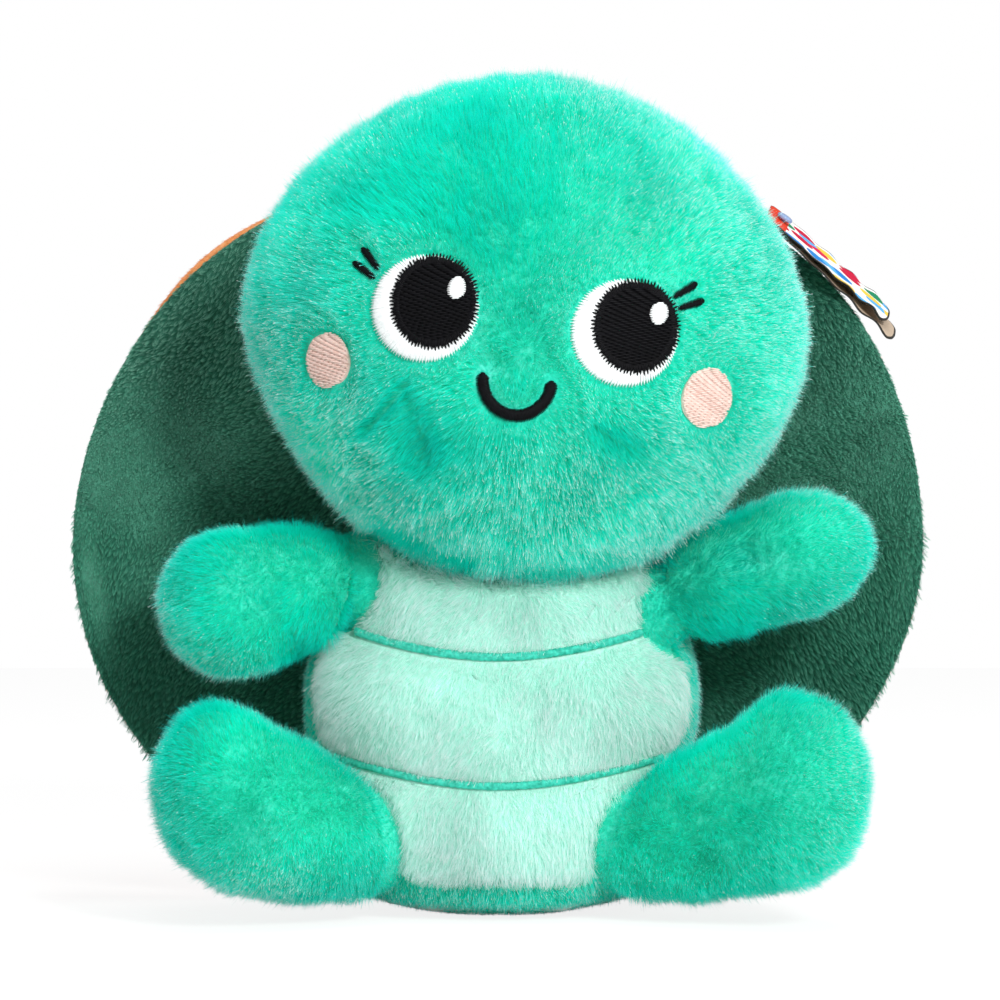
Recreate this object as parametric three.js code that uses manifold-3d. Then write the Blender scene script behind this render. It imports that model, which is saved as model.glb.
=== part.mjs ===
// A sitting plush turtle: a big round head, four stubby limbs and a body with a ribbed belly, sewn to
// the front of a stuffed shell cushion. It faces -Y with +Z up, in millimetres. The origin is in the
// middle of the flat seat, so the toy stands on the plane Z = 0. Left and right are the turtle's own.
import * as THREE from 'three';
import { mergeVertices } from 'three/addons/utils/BufferGeometryUtils.js';
import Module from 'manifold-3d';

const wasm = await Module();
wasm.setup();

const degree = Math.PI / 180;

// Fabric and thread
const fabricThickness = 1.6;
const layerGap = 0.3;
const socketGap = 1;
const limbClearance = 1.8;
const cutOverrun = 5;
const weldDistance = 0.00001;

// Head: a ball wider than it is high, fuller at the chin, rolled on the neck. Seen from the front, a
// squareness of 2 is an oval and less is nearer a diamond, above its middle and below it.
const headWidth = 150.5;
const headDepth = 116;
const headHeight = 134;
const headRoll = 7 * degree;
const headSquareness = [1.86, 1.7];
const headRise = 60.5;
const headForward = 7;
const headAside = 0;
const headClearance = 1.4;
const headLobeShares = [
  { at: [0, 0, 0], size: [1, 1, 1], squareness: headSquareness },
  { at: [0.02, -0.26, -0.34], size: [0.65, 0.68, 0.58] },
];

// Neck: a ball of filling in the two openings that are sewn to each other
const neckHeight = 103;
const neckSetForward = 3;
const neckRadius = 22;
const headNod = [-8 * degree, 4 * degree];
const headTurn = [-20 * degree, 20 * degree];

// Body: seat, belly and chest
const torsoWidth = 109;
const torsoDepth = 74;
const torsoHeight = 118;
const torsoLobeShares = [
  { at: [0, 0, 0.26], size: [0.9, 0.94, 0.33] },
  { at: [0.02, 0, 0.52], size: [0.96, 0.97, 0.36] },
  { at: [0.03, 0.02, 0.78], size: [0.78, 0.78, 0.32] },
];
const torsoHeartShare = 0.4;
const pelletBagWidth = 34;
const pelletBagDepth = 28;
const pelletBagHeight = 16;

// Belly: a pale panel quilted into three puffed bands by two lines of satin stitch
const bellyTop = 105;
const bellyBottom = 9;
const bellyPuff = 2.6;
const bellyGap = 0.4;
const bellySeamGap = 2.6;
const bellySpread = 72 * degree;
const bellySpreadShares = [0.5, 0.78, 0.94, 1, 1, 0.97, 0.9];
const bellyLineHeights = [38, 72.5];
const bellyLineSag = 12;
const bellyLineWidth = 2.4;
const bellyLineThickness = 1.2;
const bellyLineReachShare = 0.97;
const bellyGrooveWidth = 7;

// Arms, each turning on a ball at its sewn root
const shoulderSetForward = 9;
const armSwing = [-10 * degree, 22 * degree];
const leftShoulderSpread = 41;
const leftShoulderHeight = 85;
const leftShoulderRadius = 13;
const leftArmLength = 64.5;
const leftArmThickness = 30.5;
const leftArmTurn = -8 * degree;
const leftArmLift = 20 * degree;
const rightShoulderSpread = 37;
const rightShoulderHeight = 91;
const rightShoulderRadius = 14.5;
const rightArmLength = 57.5;
const rightArmThickness = 36.5;
const rightArmTurn = -24 * degree;
const rightArmLift = -5.5 * degree;
const armLobeShares = [
  { at: [0.42, 0, 0.04], size: [0.38, 0.9, 0.92] },
  { at: [0.69, 0, 0], size: [0.3, 0.95, 0.98] },
];
const armHeartShare = 0.34;

// Legs, each with a foot that turns up at its end
const hipSpread = 37;
const hipSetForward = 19;
const hipHeight = 24;
const hipRadius = 16.5;
const legSwing = [-10 * degree, 12 * degree];
const legThickness = 37;
const legLift = 13.5 * degree;
const leftLegLength = 71;
const leftLegTurn = -30 * degree;
const leftFootHeight = 48.5;
const leftFootTilt = 15 * degree;
const rightLegLength = 66.5;
const rightLegTurn = -38 * degree;
const rightFootHeight = 44;
const rightFootTilt = 20 * degree;
const legLobeShares = [
  { at: [0.29, 0, -0.12], size: [0.34, 0.96, 0.98] },
  { at: [0.52, 0, -0.05], size: [0.28, 0.98, 1.08] },
];
const footLobeShares = [
  { at: [0.73, 0, 0.1], size: [0.25, 0.74, 1] },
];
const legHeartShare = 0.32;

// Shell: a stuffed oval dish with a domed back, quilted into a middle panel and a ring of panels
const shellWidth = 240;
const shellRise = 108.5;
const shellDrop = 108.5;
const shellCentreHeight = 106;
const shellUpperSquareness = 2.28;
const shellLowerSquareness = 2.03;
const shellSkew = 0.15;
const shellFront = 34;
const shellLean = 33;
const shellLeanFrom = 92;
const shellLeanTo = 165;
const shellCurl = 34;
const shellFlatShare = 0.3;
const shellRimRadius = 7;
const rimSharpness = 6;
const shellApex = 69;
const quiltPanels = 6;
const quiltRingShare = 0.64;
const quiltDepth = 2.6;
const quiltWidth = 7;
const shellAround = 42;
const shellRings = 8;

// Face, measured across and up the front of the head from its middle
const threadThickness = 0.9;
const faceShift = -0.3;
const eyeSpread = 26.4;
const eyeRise = -0.5;
const eyeWidth = 28.2;
const eyeHeight = 28;
const pupilWidth = 22.6;
const pupilHeight = 24.4;
const pupilShift = 2.3;
const pupilRise = 2;
const glintWidth = 4.8;
const glintHeight = 5.8;
const glintShift = 5.6;
const glintRise = 4.1;
const cheekSpread = 50.4;
const cheekTilt = 12 * degree;
const leftCheekWidth = 12.9;
const leftCheekHeight = 15.6;
const leftCheekDrop = 14.2;
const rightCheekWidth = 11.1;
const rightCheekHeight = 13.5;
const rightCheekDrop = 16.5;
const mouthWidth = 17.4;
const mouthDrop = 16.5;
const mouthDepth = 9.1;
const mouthStroke = 3;
const mouthArc = 190 * degree;
const lashLength = 7.6;
const lashWidth = 1.7;
const lashPlaceShares = {
  upper_left: { at: [1.04, 0.96], tilt: 38 * degree },
  lower_left: { at: [1.18, 0.71], tilt: 25 * degree },
  upper_right: { at: [-1.14, 0.81], tilt: 126 * degree },
  lower_right: { at: [-1.22, 0.6], tilt: 154 * degree },
};

// Hang tag: a folded card with wavy edges on a plastic post through the shell's seam
const tagLength = 52;
const tagWidth = 36;
const cardThickness = 0.5;
const tagOpening = 7 * degree;
const tagPlace = 50 * degree;
const tagLean = 12 * degree;
const tagDroop = 8 * degree;
const tagStandoff = 4.5;
const tagWaveLength = 12;
const tagWaveDepth = 1.1;
const tagHoleRadius = 2.2;
const tagHoleInset = 5;
const postThickness = 1.1;
const buttonWidth = 4.6;
const buttonHeight = 4;
const buttonThickness = 1.8;

// Fineness of the surfaces
const fine = { around: 28, along: 17 };
const middling = { around: 20, along: 13 };
const round = { around: 16, along: 9 };
const coarse = { around: 12, along: 8 };
const ovalDetail = { around: 24, rings: 2 };
const smallOvalDetail = { around: 12, rings: 2 };
const waveSteps = 4;
const blendPower = 9;
const ovalSquareness = [2, 2];
const searchSteps = 40;
const halvings = 22;

const colours = {
  teal: 0x14cfa4,
  mint: 0xb0ecdc,
  lining: 0x2d6450,
  cover: 0xf0954f,
  filling: 0xf4f4f0,
  pellets: 0xe6e2d8,
  white: 0xf8fafa,
  black: 0x121216,
  blush: 0xf0cdc3,
  satin: 0x2dbea5,
  card: 0xf6f3ee,
  plastic: 0xa9c4e6,
};

const toy = new THREE.Group();

function cloth(colour, roughness = 0.95) {
  return new THREE.MeshStandardMaterial({ color: colour, roughness, metalness: 0 });
}

// Turns a closed three.js geometry into a solid that can be joined and cut.
function solidOf(geometry) {
  const bare = geometry.clone();
  bare.deleteAttribute('normal');
  bare.deleteAttribute('uv');
  const merged = mergeVertices(bare, weldDistance);
  return new wasm.Manifold(new wasm.Mesh({
    numProp: 3,
    vertProperties: merged.attributes.position.array,
    triVerts: new Uint32Array(merged.index.array),
  }));
}

function geometryOf(solid) {
  const mesh = solid.getMesh();
  const geometry = new THREE.BufferGeometry();
  geometry.setAttribute('position', new THREE.BufferAttribute(new Float32Array(mesh.vertProperties), 3));
  geometry.setIndex(new THREE.BufferAttribute(new Uint32Array(mesh.triVerts), 1));
  geometry.computeVertexNormals();
  return geometry;
}

function add(name, solid, material, frame = new THREE.Matrix4()) {
  const mesh = new THREE.Mesh(geometryOf(solid), material);
  mesh.name = name;
  frame.decompose(mesh.position, mesh.quaternion, mesh.scale);
  toy.add(mesh);
}

function ball(radius, centre) {
  return solidOf(new THREE.SphereGeometry(radius, round.around, round.along).translate(...centre));
}

// A stuffed form: round lobes of filling that melt into each other, less whatever is kept out.
// Lobes lie in the form's own frame, each oval from the front unless it has a squareness of its own,
// above its middle and below it. An inset shrinks every lobe and widens every cut alike.
class StuffedForm {
  constructor(frame, lobes, heart, keeps = []) {
    this.frame = frame;
    this.lobes = lobes;
    this.heart = heart;
    this.keeps = keeps;
    this.inverse = frame.clone().invert();
  }

  fullness(point, inset = 0) {
    let sum = 0;
    for (const { at, size, tilt, squareness } of this.lobes) {
      const x = point.x - at[0];
      const z = point.z - at[2];
      const along = (x * Math.cos(tilt) - z * Math.sin(tilt)) / (size[0] - inset);
      const across = (point.y - at[1]) / (size[1] - inset);
      const up = (x * Math.sin(tilt) + z * Math.cos(tilt)) / (size[2] - inset);
      const power = up > 0 ? squareness[0] : squareness[1];
      const frontal = (Math.abs(along) ** power + Math.abs(up) ** power) ** (1 / power);
      sum += Math.hypot(frontal, across) ** -blendPower;
    }
    return sum ** (-1 / blendPower);
  }

  holds(point, inset = 0) {
    if (this.fullness(point, inset) > 1) return false;
    const placed = point.clone().applyMatrix4(this.frame);
    return this.keeps.every((keep) => keep(placed, inset));
  }

  holdsPlaced(point, inset = 0) {
    return this.fullness(point.clone().applyMatrix4(this.inverse), inset) < 1;
  }

  // The distance along a ray at which it leaves the form.
  reach(origin, direction, inset = 0) {
    const longest = 2 * Math.max(...this.lobes.flatMap((lobe) => lobe.size))
      + Math.max(...this.lobes.map((lobe) => Math.hypot(...lobe.at)));
    const probe = new THREE.Vector3();
    const held = (distance) => this.holds(probe.copy(direction).multiplyScalar(distance).add(origin), inset);
    let inner = 0;
    let outer = longest / searchSteps;
    while (outer < longest && held(outer)) {
      inner = outer;
      outer += longest / searchSteps;
    }
    for (let i = 0; i < halvings; i += 1) {
      const middle = (inner + outer) / 2;
      if (held(middle)) inner = middle;
      else outer = middle;
    }
    return inner;
  }

  outward(point) {
    const step = this.lobes[0].size[0] / 1000;
    const slope = ['x', 'y', 'z'].map((axis) => {
      const ahead = point.clone();
      ahead[axis] += step;
      const behind = point.clone();
      behind[axis] -= step;
      return this.fullness(ahead) - this.fullness(behind);
    });
    return new THREE.Vector3(...slope).normalize();
  }

  // The closed surface, found along the rays of a sphere round the heart.
  surface(detail, inset = 0) {
    const geometry = new THREE.SphereGeometry(1, detail.around, detail.along);
    geometry.rotateZ(Math.PI / 2);
    const positions = geometry.attributes.position;
    const heart = new THREE.Vector3(...this.heart);
    const ray = new THREE.Vector3();
    for (let i = 0; i < positions.count; i += 1) {
      ray.fromBufferAttribute(positions, i).normalize();
      const distance = this.reach(heart, ray, inset);
      ray.multiplyScalar(distance).add(heart);
      positions.setXYZ(i, ray.x, ray.y, ray.z);
    }
    return geometry;
  }

  skin(detail, innerDetail = coarse) {
    return solidOf(this.surface(detail)).subtract(solidOf(this.surface(innerDetail, fabricThickness)));
  }

  filling(detail = coarse) {
    return solidOf(this.surface(detail, fabricThickness + layerGap));
  }
}

function scaled(shares, half, tilt = 0) {
  return shares.map(({ at, size, squareness = ovalSquareness }) => ({
    at: at.map((share, i) => share * half[i]),
    size: size.map((share, i) => share * half[i]),
    tilt,
    squareness,
  }));
}

// Head frame
const neckPivot = new THREE.Vector3(0, -neckSetForward, neckHeight);
const headFrame = new THREE.Matrix4().makeRotationY(headRoll)
  .setPosition(neckPivot.x + headAside + headRise * Math.sin(headRoll), neckPivot.y - headForward,
    neckPivot.z + headRise * Math.cos(headRoll));
const headHalf = [headWidth / 2, headDepth / 2, headHeight / 2];
const headForm = new StuffedForm(headFrame, scaled(headLobeShares, headHalf), [0, 0, 0]);

// Every pose of the head at rest and at the ends of its nod and its turn, about the neck's pivot.
const neckAxis = new THREE.Vector3(0, 0, 1).transformDirection(headFrame);
const headPoses = [0, ...headNod].flatMap((nod) => [0, ...headTurn].map((turn) => (
  new THREE.Matrix4().setPosition(neckPivot)
    .multiply(new THREE.Matrix4().makeRotationX(nod))
    .multiply(new THREE.Matrix4().makeRotationAxis(neckAxis, turn))
    .multiply(new THREE.Matrix4().setPosition(neckPivot.clone().negate()))
)));
const headPosesUndone = headPoses.map((pose) => pose.clone().invert());

// Whether a point stays clear of the head in all its poses.
function clearOfHead(point, inset) {
  return headPosesUndone.every((undo) => (
    !headForm.holdsPlaced(point.clone().applyMatrix4(undo), -headClearance - inset)
  ));
}

// The room that the head takes up in all its poses.
function headRoom() {
  const grown = headForm.surface(middling, -headClearance).applyMatrix4(headFrame);
  return wasm.Manifold.union(headPoses.map((pose) => solidOf(grown.clone().applyMatrix4(pose))));
}

// Torso frame: lobe places are shares of its half width and depth and of its whole height.
const torsoHalf = [torsoWidth / 2, torsoDepth / 2, torsoHeight];
const torsoLobes = scaled(torsoLobeShares, torsoHalf);
const torsoHeart = [0, 0, torsoHeight * torsoHeartShare];
const torsoBack = shellFront - layerGap;
const openTorso = new StuffedForm(new THREE.Matrix4(), torsoLobes, torsoHeart);
const torsoForm = new StuffedForm(new THREE.Matrix4(), torsoLobes, torsoHeart, [
  (point, inset) => point.z > inset,
  (point, inset) => point.y < torsoBack - inset,
  clearOfHead,
]);

// Limbs: each has a ball at its root that turns in a socket of the body, under the sewn seam.
function limbFrame(pivot, turn, lift, side) {
  const facing = side > 0 ? turn : Math.PI - turn;
  return new THREE.Matrix4().makeRotationZ(facing)
    .multiply(new THREE.Matrix4().makeRotationY(-lift))
    .setPosition(pivot);
}

function limbForm(pivot, rootRadius, frame, lobes, swing, side, heart) {
  const rootSize = [rootRadius, rootRadius, rootRadius];
  const root = { at: [0, 0, 0], size: rootSize, tilt: 0, squareness: ovalSquareness };
  const up = new THREE.Vector3(0, 0, 1);
  const panelReach = bellyPuff + bellyGap;
  return new StuffedForm(frame, [root, ...lobes], heart, [
    (point, inset) => {
      if (point.distanceTo(pivot) < rootRadius - inset) return true;
      return [0, ...swing].every((angle) => {
        const swung = point.clone().sub(pivot).applyAxisAngle(up, -side * angle).add(pivot);
        return !torsoForm.holdsPlaced(swung, -panelReach - limbClearance - inset)
          && clearOfHead(swung, inset);
      });
    },
  ]);
}

function makeArm(side, spread, height, rootRadius, length, thickness, turn, lift) {
  const pivot = new THREE.Vector3(side * spread, -shoulderSetForward, height);
  const frame = limbFrame(pivot, turn, lift, side);
  const lobes = scaled(armLobeShares, [length, thickness / 2, thickness / 2]);
  return limbForm(pivot, rootRadius, frame, lobes, armSwing, side, [length * armHeartShare, 0, 0]);
}

function makeLeg(side, length, turn, footHeight, footTilt) {
  const pivot = new THREE.Vector3(side * hipSpread, -hipSetForward, hipHeight);
  const frame = limbFrame(pivot, turn, legLift, side);
  const calf = scaled(legLobeShares, [length, legThickness / 2, legThickness / 2]);
  const foot = scaled(footLobeShares, [length, footHeight / 2, footHeight / 2], footTilt);
  return limbForm(pivot, hipRadius, frame, [...calf, ...foot], legSwing, side, [length * legHeartShare, 0, 0]);
}

const limbs = {
  arm_left: makeArm(1, leftShoulderSpread, leftShoulderHeight, leftShoulderRadius,
    leftArmLength, leftArmThickness, leftArmTurn, leftArmLift),
  arm_right: makeArm(-1, rightShoulderSpread, rightShoulderHeight, rightShoulderRadius,
    rightArmLength, rightArmThickness, rightArmTurn, rightArmLift),
  leg_left: makeLeg(1, leftLegLength, leftLegTurn, leftFootHeight, leftFootTilt),
  leg_right: makeLeg(-1, rightLegLength, rightLegTurn, rightFootHeight, rightFootTilt),
};

function rootBall(form, extra) {
  return ball(form.lobes[0].size[0] + extra, new THREE.Vector3().setFromMatrixPosition(form.frame).toArray());
}

function socketsOf(gap) {
  return wasm.Manifold.union([
    ball(neckRadius + gap, neckPivot.toArray()),
    ...Object.values(limbs).map((form) => rootBall(form, gap)),
  ]);
}

// Each limb's skin is open at its root, where the filling was pushed in.
function addLimb(name, form) {
  const rootRadius = form.lobes[0].size[0];
  const length = 2 * rootRadius + cutOverrun;
  const opening = new THREE.CylinderGeometry(rootRadius / 2, rootRadius / 2, length, coarse.along);
  opening.rotateZ(Math.PI / 2).translate(-cutOverrun / 2, 0, 0);
  add(name, form.skin(middling, round).subtract(solidOf(opening)), cloth(colours.teal), form.frame);
  add(`${name}_filling`, form.filling(round), cloth(colours.filling), form.frame);
}

function addHead() {
  const socket = ball(neckRadius + socketGap, neckPivot.clone().applyMatrix4(headForm.inverse).toArray());
  add('head', headForm.skin(fine).subtract(socket), cloth(colours.teal), headFrame);
  add('head_filling', headForm.filling().subtract(socket), cloth(colours.filling), headFrame);
  add('neck_filling', ball(neckRadius, neckPivot.toArray()), cloth(colours.filling));
}

function addTorso() {
  const bagHalf = [pelletBagWidth / 2, pelletBagDepth / 2, pelletBagHeight / 2];
  const floor = fabricThickness + layerGap;
  const bagCentre = [0, 0, fabricThickness + bagHalf[2]];
  const bagLobes = [{ at: bagCentre, size: bagHalf, tilt: 0, squareness: ovalSquareness }];
  const bag = new StuffedForm(new THREE.Matrix4(), bagLobes, bagCentre, [(point) => point.z > floor]);
  const hollow = new StuffedForm(new THREE.Matrix4(), bagLobes, bagCentre).surface(coarse, -layerGap);
  const sockets = socketsOf(socketGap);
  const filling = torsoForm.filling(middling).subtract(sockets).subtract(solidOf(hollow));
  add('torso', torsoForm.skin(fine, middling).subtract(sockets), cloth(colours.teal));
  add('torso_filling', filling, cloth(colours.filling));
  add('pellet_bag', solidOf(bag.surface(coarse)), cloth(colours.pellets));
}

// Belly: laid round the front of the body, by angle from straight ahead and by height.
function aroundTorso(angle, height, offset) {
  const axis = new THREE.Vector3(0, 0, height);
  const outward = new THREE.Vector3(Math.sin(angle), -Math.cos(angle), 0);
  const point = axis.clone().addScaledVector(outward, openTorso.reach(axis, outward));
  return point.addScaledVector(openTorso.outward(point), offset);
}

function spreadAt(share) {
  const last = bellySpreadShares.length - 1;
  const curve = new THREE.SplineCurve(bellySpreadShares.map((value, i) => new THREE.Vector2(i / last, value)));
  return bellySpread * curve.getPoint(share).y;
}

// Bends a unit box: x runs across, y through the thickness and z along.
function bent(across, alongCount, place) {
  const geometry = new THREE.BoxGeometry(1, 1, 1, across, 1, alongCount);
  const positions = geometry.attributes.position;
  for (let i = 0; i < positions.count; i += 1) {
    const point = place(positions.getX(i) * 2, positions.getY(i) + 0.5, positions.getZ(i) + 0.5);
    positions.setXYZ(i, point.x, point.y, point.z);
  }
  return solidOf(geometry);
}

function lineHeight(level, angle) {
  return bellyLineHeights[level] + bellyLineSag * (1 - Math.cos(angle));
}

function bellyThickness(angle, height) {
  const nearest = Math.min(...bellyLineHeights.map((_, i) => Math.abs(height - lineHeight(i, angle))));
  const puff = 1 - Math.exp(-((nearest / bellyGrooveWidth) ** 2));
  return bellyLineThickness + (bellyPuff - bellyLineThickness) * puff;
}

function addBelly() {
  const seams = socketsOf(bellySeamGap);
  const panel = bent(14, 18, (x, y, z) => {
    const height = bellyBottom + (bellyTop - bellyBottom) * z;
    const angle = -x * spreadAt(z);
    return aroundTorso(angle, height, bellyGap + y * bellyThickness(angle, height));
  });
  add('belly_panel', panel.subtract(headRoom()).subtract(seams), cloth(colours.mint));
  ['belly_line_lower', 'belly_line_upper'].forEach((name, level) => {
    const share = (bellyLineHeights[level] - bellyBottom) / (bellyTop - bellyBottom);
    const line = bent(18, 1, (x, y, z) => {
      const angle = -x * spreadAt(share) * bellyLineReachShare;
      const height = lineHeight(level, angle) + (z - 0.5) * bellyLineWidth;
      const base = bellyGap + layerGap + bellyThickness(angle, height);
      return aroundTorso(angle, height, base + y * bellyLineThickness);
    });
    add(name, line.subtract(seams), cloth(colours.satin, 0.5));
  });
}

// Shell: the front is a dish that the body is sewn to, and the back is a dome.
function dishDepth(x, z) {
  const lean = shellLean * THREE.MathUtils.smoothstep(z, shellLeanFrom, shellLeanTo);
  const side = Math.max(0, (Math.abs(x) / (shellWidth / 2) - shellFlatShare) / (1 - shellFlatShare));
  return shellFront + lean - shellCurl * side * side;
}

// Where a share of the way out to the rim lies, seen from the front.
function shellPlace(reach, angle, inset) {
  const upper = Math.sin(angle) > 0;
  const skew = shellSkew * Math.cos(angle);
  const power = upper ? shellUpperSquareness + skew : shellLowerSquareness - skew / 2;
  const halfHeight = (upper ? shellRise : shellDrop) - inset;
  const swell = (Math.abs(Math.cos(angle)) ** power + Math.abs(Math.sin(angle)) ** power) ** (-1 / power);
  const x = (shellWidth / 2 - inset) * reach * swell * Math.cos(angle);
  const z = halfHeight * reach * swell * Math.sin(angle);
  return [x, shellCentreHeight + z];
}

// How deep the quilting draws in the back: a ring round the middle panel and spokes out to the rim.
function quilting(reach, angle) {
  const spoke = Math.PI / quiltPanels;
  const turn = ((angle % (2 * spoke)) + 2 * spoke) % (2 * spoke) - spoke;
  const radius = reach * shellWidth / 2;
  const toRing = radius - quiltRingShare * shellWidth / 2;
  const toSpoke = radius * Math.sin(turn);
  const nearest = toRing > 0 ? Math.min(toRing, Math.abs(toSpoke)) : -toRing;
  return quiltDepth * Math.exp(-((nearest / quiltWidth) ** 2));
}

// A point of the shell: ring 0 is the middle and 1 the rim, face 0 the front and 1 the back.
function shellPoint(ring, angle, face, inset) {
  const reach = Math.sin(ring * Math.PI / 2);
  const [x, z] = shellPlace(reach, angle, 0);
  const [rimX, rimZ] = shellPlace(1, angle, 0);
  const edge = (shellRimRadius - inset) * Math.sqrt(Math.max(0, 1 - reach ** rimSharpness));
  const front = dishDepth(x, z) + shellRimRadius - edge;
  const rimDepth = dishDepth(rimX, rimZ) + shellRimRadius;
  const drawn = quilting(reach, angle) * (1 - reach ** rimSharpness);
  const back = THREE.MathUtils.lerp(shellApex, rimDepth, reach * reach) + edge - drawn;
  const [insetX, insetZ] = shellPlace(reach, angle, inset);
  return new THREE.Vector3(insetX, face ? back : front, Math.max(insetZ, inset));
}

// Two triangles of a lathe's index that share one line of their quad are made to share the other.
function splitOtherWay(index, start) {
  const [a, b, d, c] = [0, 1, 2, 3].map((i) => index.getX(start + i));
  [a, b, c, a, c, d].forEach((vertex, i) => index.setX(start + i, vertex));
}

// A round slab of unit size, whose rings and faces are then placed by a rule. Both faces are split into
// triangles along the same lines, so that slabs laid on each other keep their gap.
function roundSlab(detail, place) {
  const profile = [];
  for (let i = 0; i <= detail.rings; i += 1) profile.push(new THREE.Vector2(i / detail.rings, 1));
  for (let i = detail.rings; i >= 0; i -= 1) profile.push(new THREE.Vector2(i / detail.rings, 0));
  const geometry = new THREE.LatheGeometry(profile, detail.around);
  const quads = profile.length - 1;
  for (let quad = 0; quad < quads * detail.around; quad += 1) {
    if (quad % quads > detail.rings) splitOtherWay(geometry.index, quad * 6);
  }
  const positions = geometry.attributes.position;
  for (let i = 0; i < positions.count; i += 1) {
    const point = place(positions.getX(i), positions.getZ(i), positions.getY(i));
    positions.setXYZ(i, point.x, point.y, point.z);
  }
  return solidOf(geometry);
}

function shellSlab(place) {
  return roundSlab({ around: shellAround, rings: shellRings }, (across, up, level) => (
    place(Math.hypot(across, up), Math.atan2(across, up), level)
  ));
}

function addShell() {
  const half = layerGap / 2;
  add('shell_lining', shellSlab((ring, angle, level) => {
    const point = shellPoint(ring, angle, 0, level * fabricThickness);
    return point.setY(point.y - half);
  }), cloth(colours.lining));
  add('shell_cover', shellSlab((ring, angle, level) => {
    const point = shellPoint(ring, angle, 1, (1 - level) * fabricThickness);
    return point.setY(point.y + half);
  }), cloth(colours.cover));
  add('shell_filling', shellSlab((ring, angle, level) => (
    shellPoint(ring, angle, level, fabricThickness + layerGap)
  )), cloth(colours.filling));
}

// Embroidery: laid on the front of the head at a place measured across and up from its middle.
function onFace(across, up, offset) {
  const start = new THREE.Vector3(faceShift + across, 0, up);
  const ahead = new THREE.Vector3(0, -1, 0);
  const point = start.clone().addScaledVector(ahead, headForm.reach(start, ahead));
  return point.addScaledVector(headForm.outward(point), offset);
}

function stitchedOval(width, height, across, up, tilt, layer, detail = ovalDetail) {
  const base = layerGap + layer * (threadThickness + layerGap);
  return roundSlab(detail, (x, z, level) => {
    const right = x * width / 2;
    const rise = z * height / 2;
    return onFace(across + right * Math.cos(tilt) - rise * Math.sin(tilt),
      up + right * Math.sin(tilt) + rise * Math.cos(tilt), base + level * threadThickness);
  });
}

function addEye(name, across) {
  const white = stitchedOval(eyeWidth, eyeHeight, across, eyeRise, 0, 0);
  add(`eye_white_${name}`, white, cloth(colours.white, 0.6), headFrame);
  const pupil = stitchedOval(pupilWidth, pupilHeight, across + pupilShift, eyeRise + pupilRise, 0, 1);
  add(`pupil_${name}`, pupil, cloth(colours.black, 0.5), headFrame);
  const glint = stitchedOval(glintWidth, glintHeight, across + pupilShift + glintShift,
    eyeRise + pupilRise + glintRise, 0, 2, smallOvalDetail);
  add(`eye_glint_${name}`, glint, cloth(colours.white, 0.6), headFrame);
}

function addLash(name, across) {
  const { at, tilt } = lashPlaceShares[name];
  const lash = stitchedOval(lashLength, lashWidth, across + at[0] * eyeWidth / 2,
    eyeRise + at[1] * eyeHeight / 2, tilt, 0, smallOvalDetail);
  add(`lash_${name}`, lash, cloth(colours.black, 0.5), headFrame);
}

function addMouth() {
  const mouth = bent(1, 16, (x, y, z) => {
    const angle = (z - 0.5) * mouthArc;
    const across = (mouthWidth / 2 - x * mouthStroke / 2) * Math.sin(angle);
    const up = -mouthDrop - (mouthDepth - x * mouthStroke / 2) * Math.cos(angle);
    return onFace(across, up, layerGap + y * threadThickness);
  });
  add('mouth', mouth, cloth(colours.black, 0.5), headFrame);
}

function addFace() {
  addEye('left', eyeSpread);
  addEye('right', -eyeSpread);
  addLash('upper_left', eyeSpread);
  addLash('lower_left', eyeSpread);
  addLash('upper_right', -eyeSpread);
  addLash('lower_right', -eyeSpread);
  const leftCheek = stitchedOval(leftCheekWidth, leftCheekHeight, cheekSpread, -leftCheekDrop, -cheekTilt, 0);
  add('cheek_left', leftCheek, cloth(colours.blush, 0.6), headFrame);
  const rightCheek = stitchedOval(rightCheekWidth, rightCheekHeight, -cheekSpread, -rightCheekDrop, cheekTilt, 0);
  add('cheek_right', rightCheek, cloth(colours.blush, 0.6), headFrame);
  addMouth();
}

// Hang tag frame: x runs along the rim, z stands off it and leans a little to the front.
function tagFrame() {
  const seam = shellPoint(1, tagPlace, 0, 0);
  const before = shellPoint(1, tagPlace + degree, 0, 0);
  const alongRim = seam.clone().sub(before).setY(0).normalize();
  const standing = new THREE.Vector3(-alongRim.z, 0, alongRim.x).applyAxisAngle(alongRim, tagLean);
  const across = standing.clone().cross(alongRim);
  return new THREE.Matrix4().makeBasis(alongRim, across, standing)
    .setPosition(seam.addScaledVector(standing, tagStandoff));
}

// One leaf of the card, with waves along its three free edges. The card droops a little about its hole.
function tagLeaf(angle) {
  const sideWaves = Math.round(tagLength / tagWaveLength);
  const endWaves = Math.round(tagWidth / tagWaveLength);
  const wave = (share, count) => tagWaveDepth * (1 - Math.cos(2 * Math.PI * count * share)) / 2;
  const side = Array.from({ length: sideWaves * waveSteps + 1 }, (_, i) => {
    const share = i / (sideWaves * waveSteps);
    return new THREE.Vector2(share * tagLength, tagWidth / 2 - wave(share, sideWaves));
  });
  const end = Array.from({ length: endWaves * waveSteps - 1 }, (_, i) => {
    const share = (i + 1) / (endWaves * waveSteps);
    return new THREE.Vector2(tagLength - wave(share, endWaves), tagWidth * (0.5 - share));
  });
  const back = side.map((point) => new THREE.Vector2(point.x, -point.y)).reverse();
  const leaf = new THREE.ExtrudeGeometry(new THREE.Shape([...side, ...end, ...back]), {
    depth: cardThickness,
    bevelEnabled: false,
  });
  leaf.translate(0, 0, -cardThickness / 2).rotateY(-angle).translate(-tagHoleInset, 0, 0);
  return solidOf(leaf.rotateY(tagDroop));
}

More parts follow.
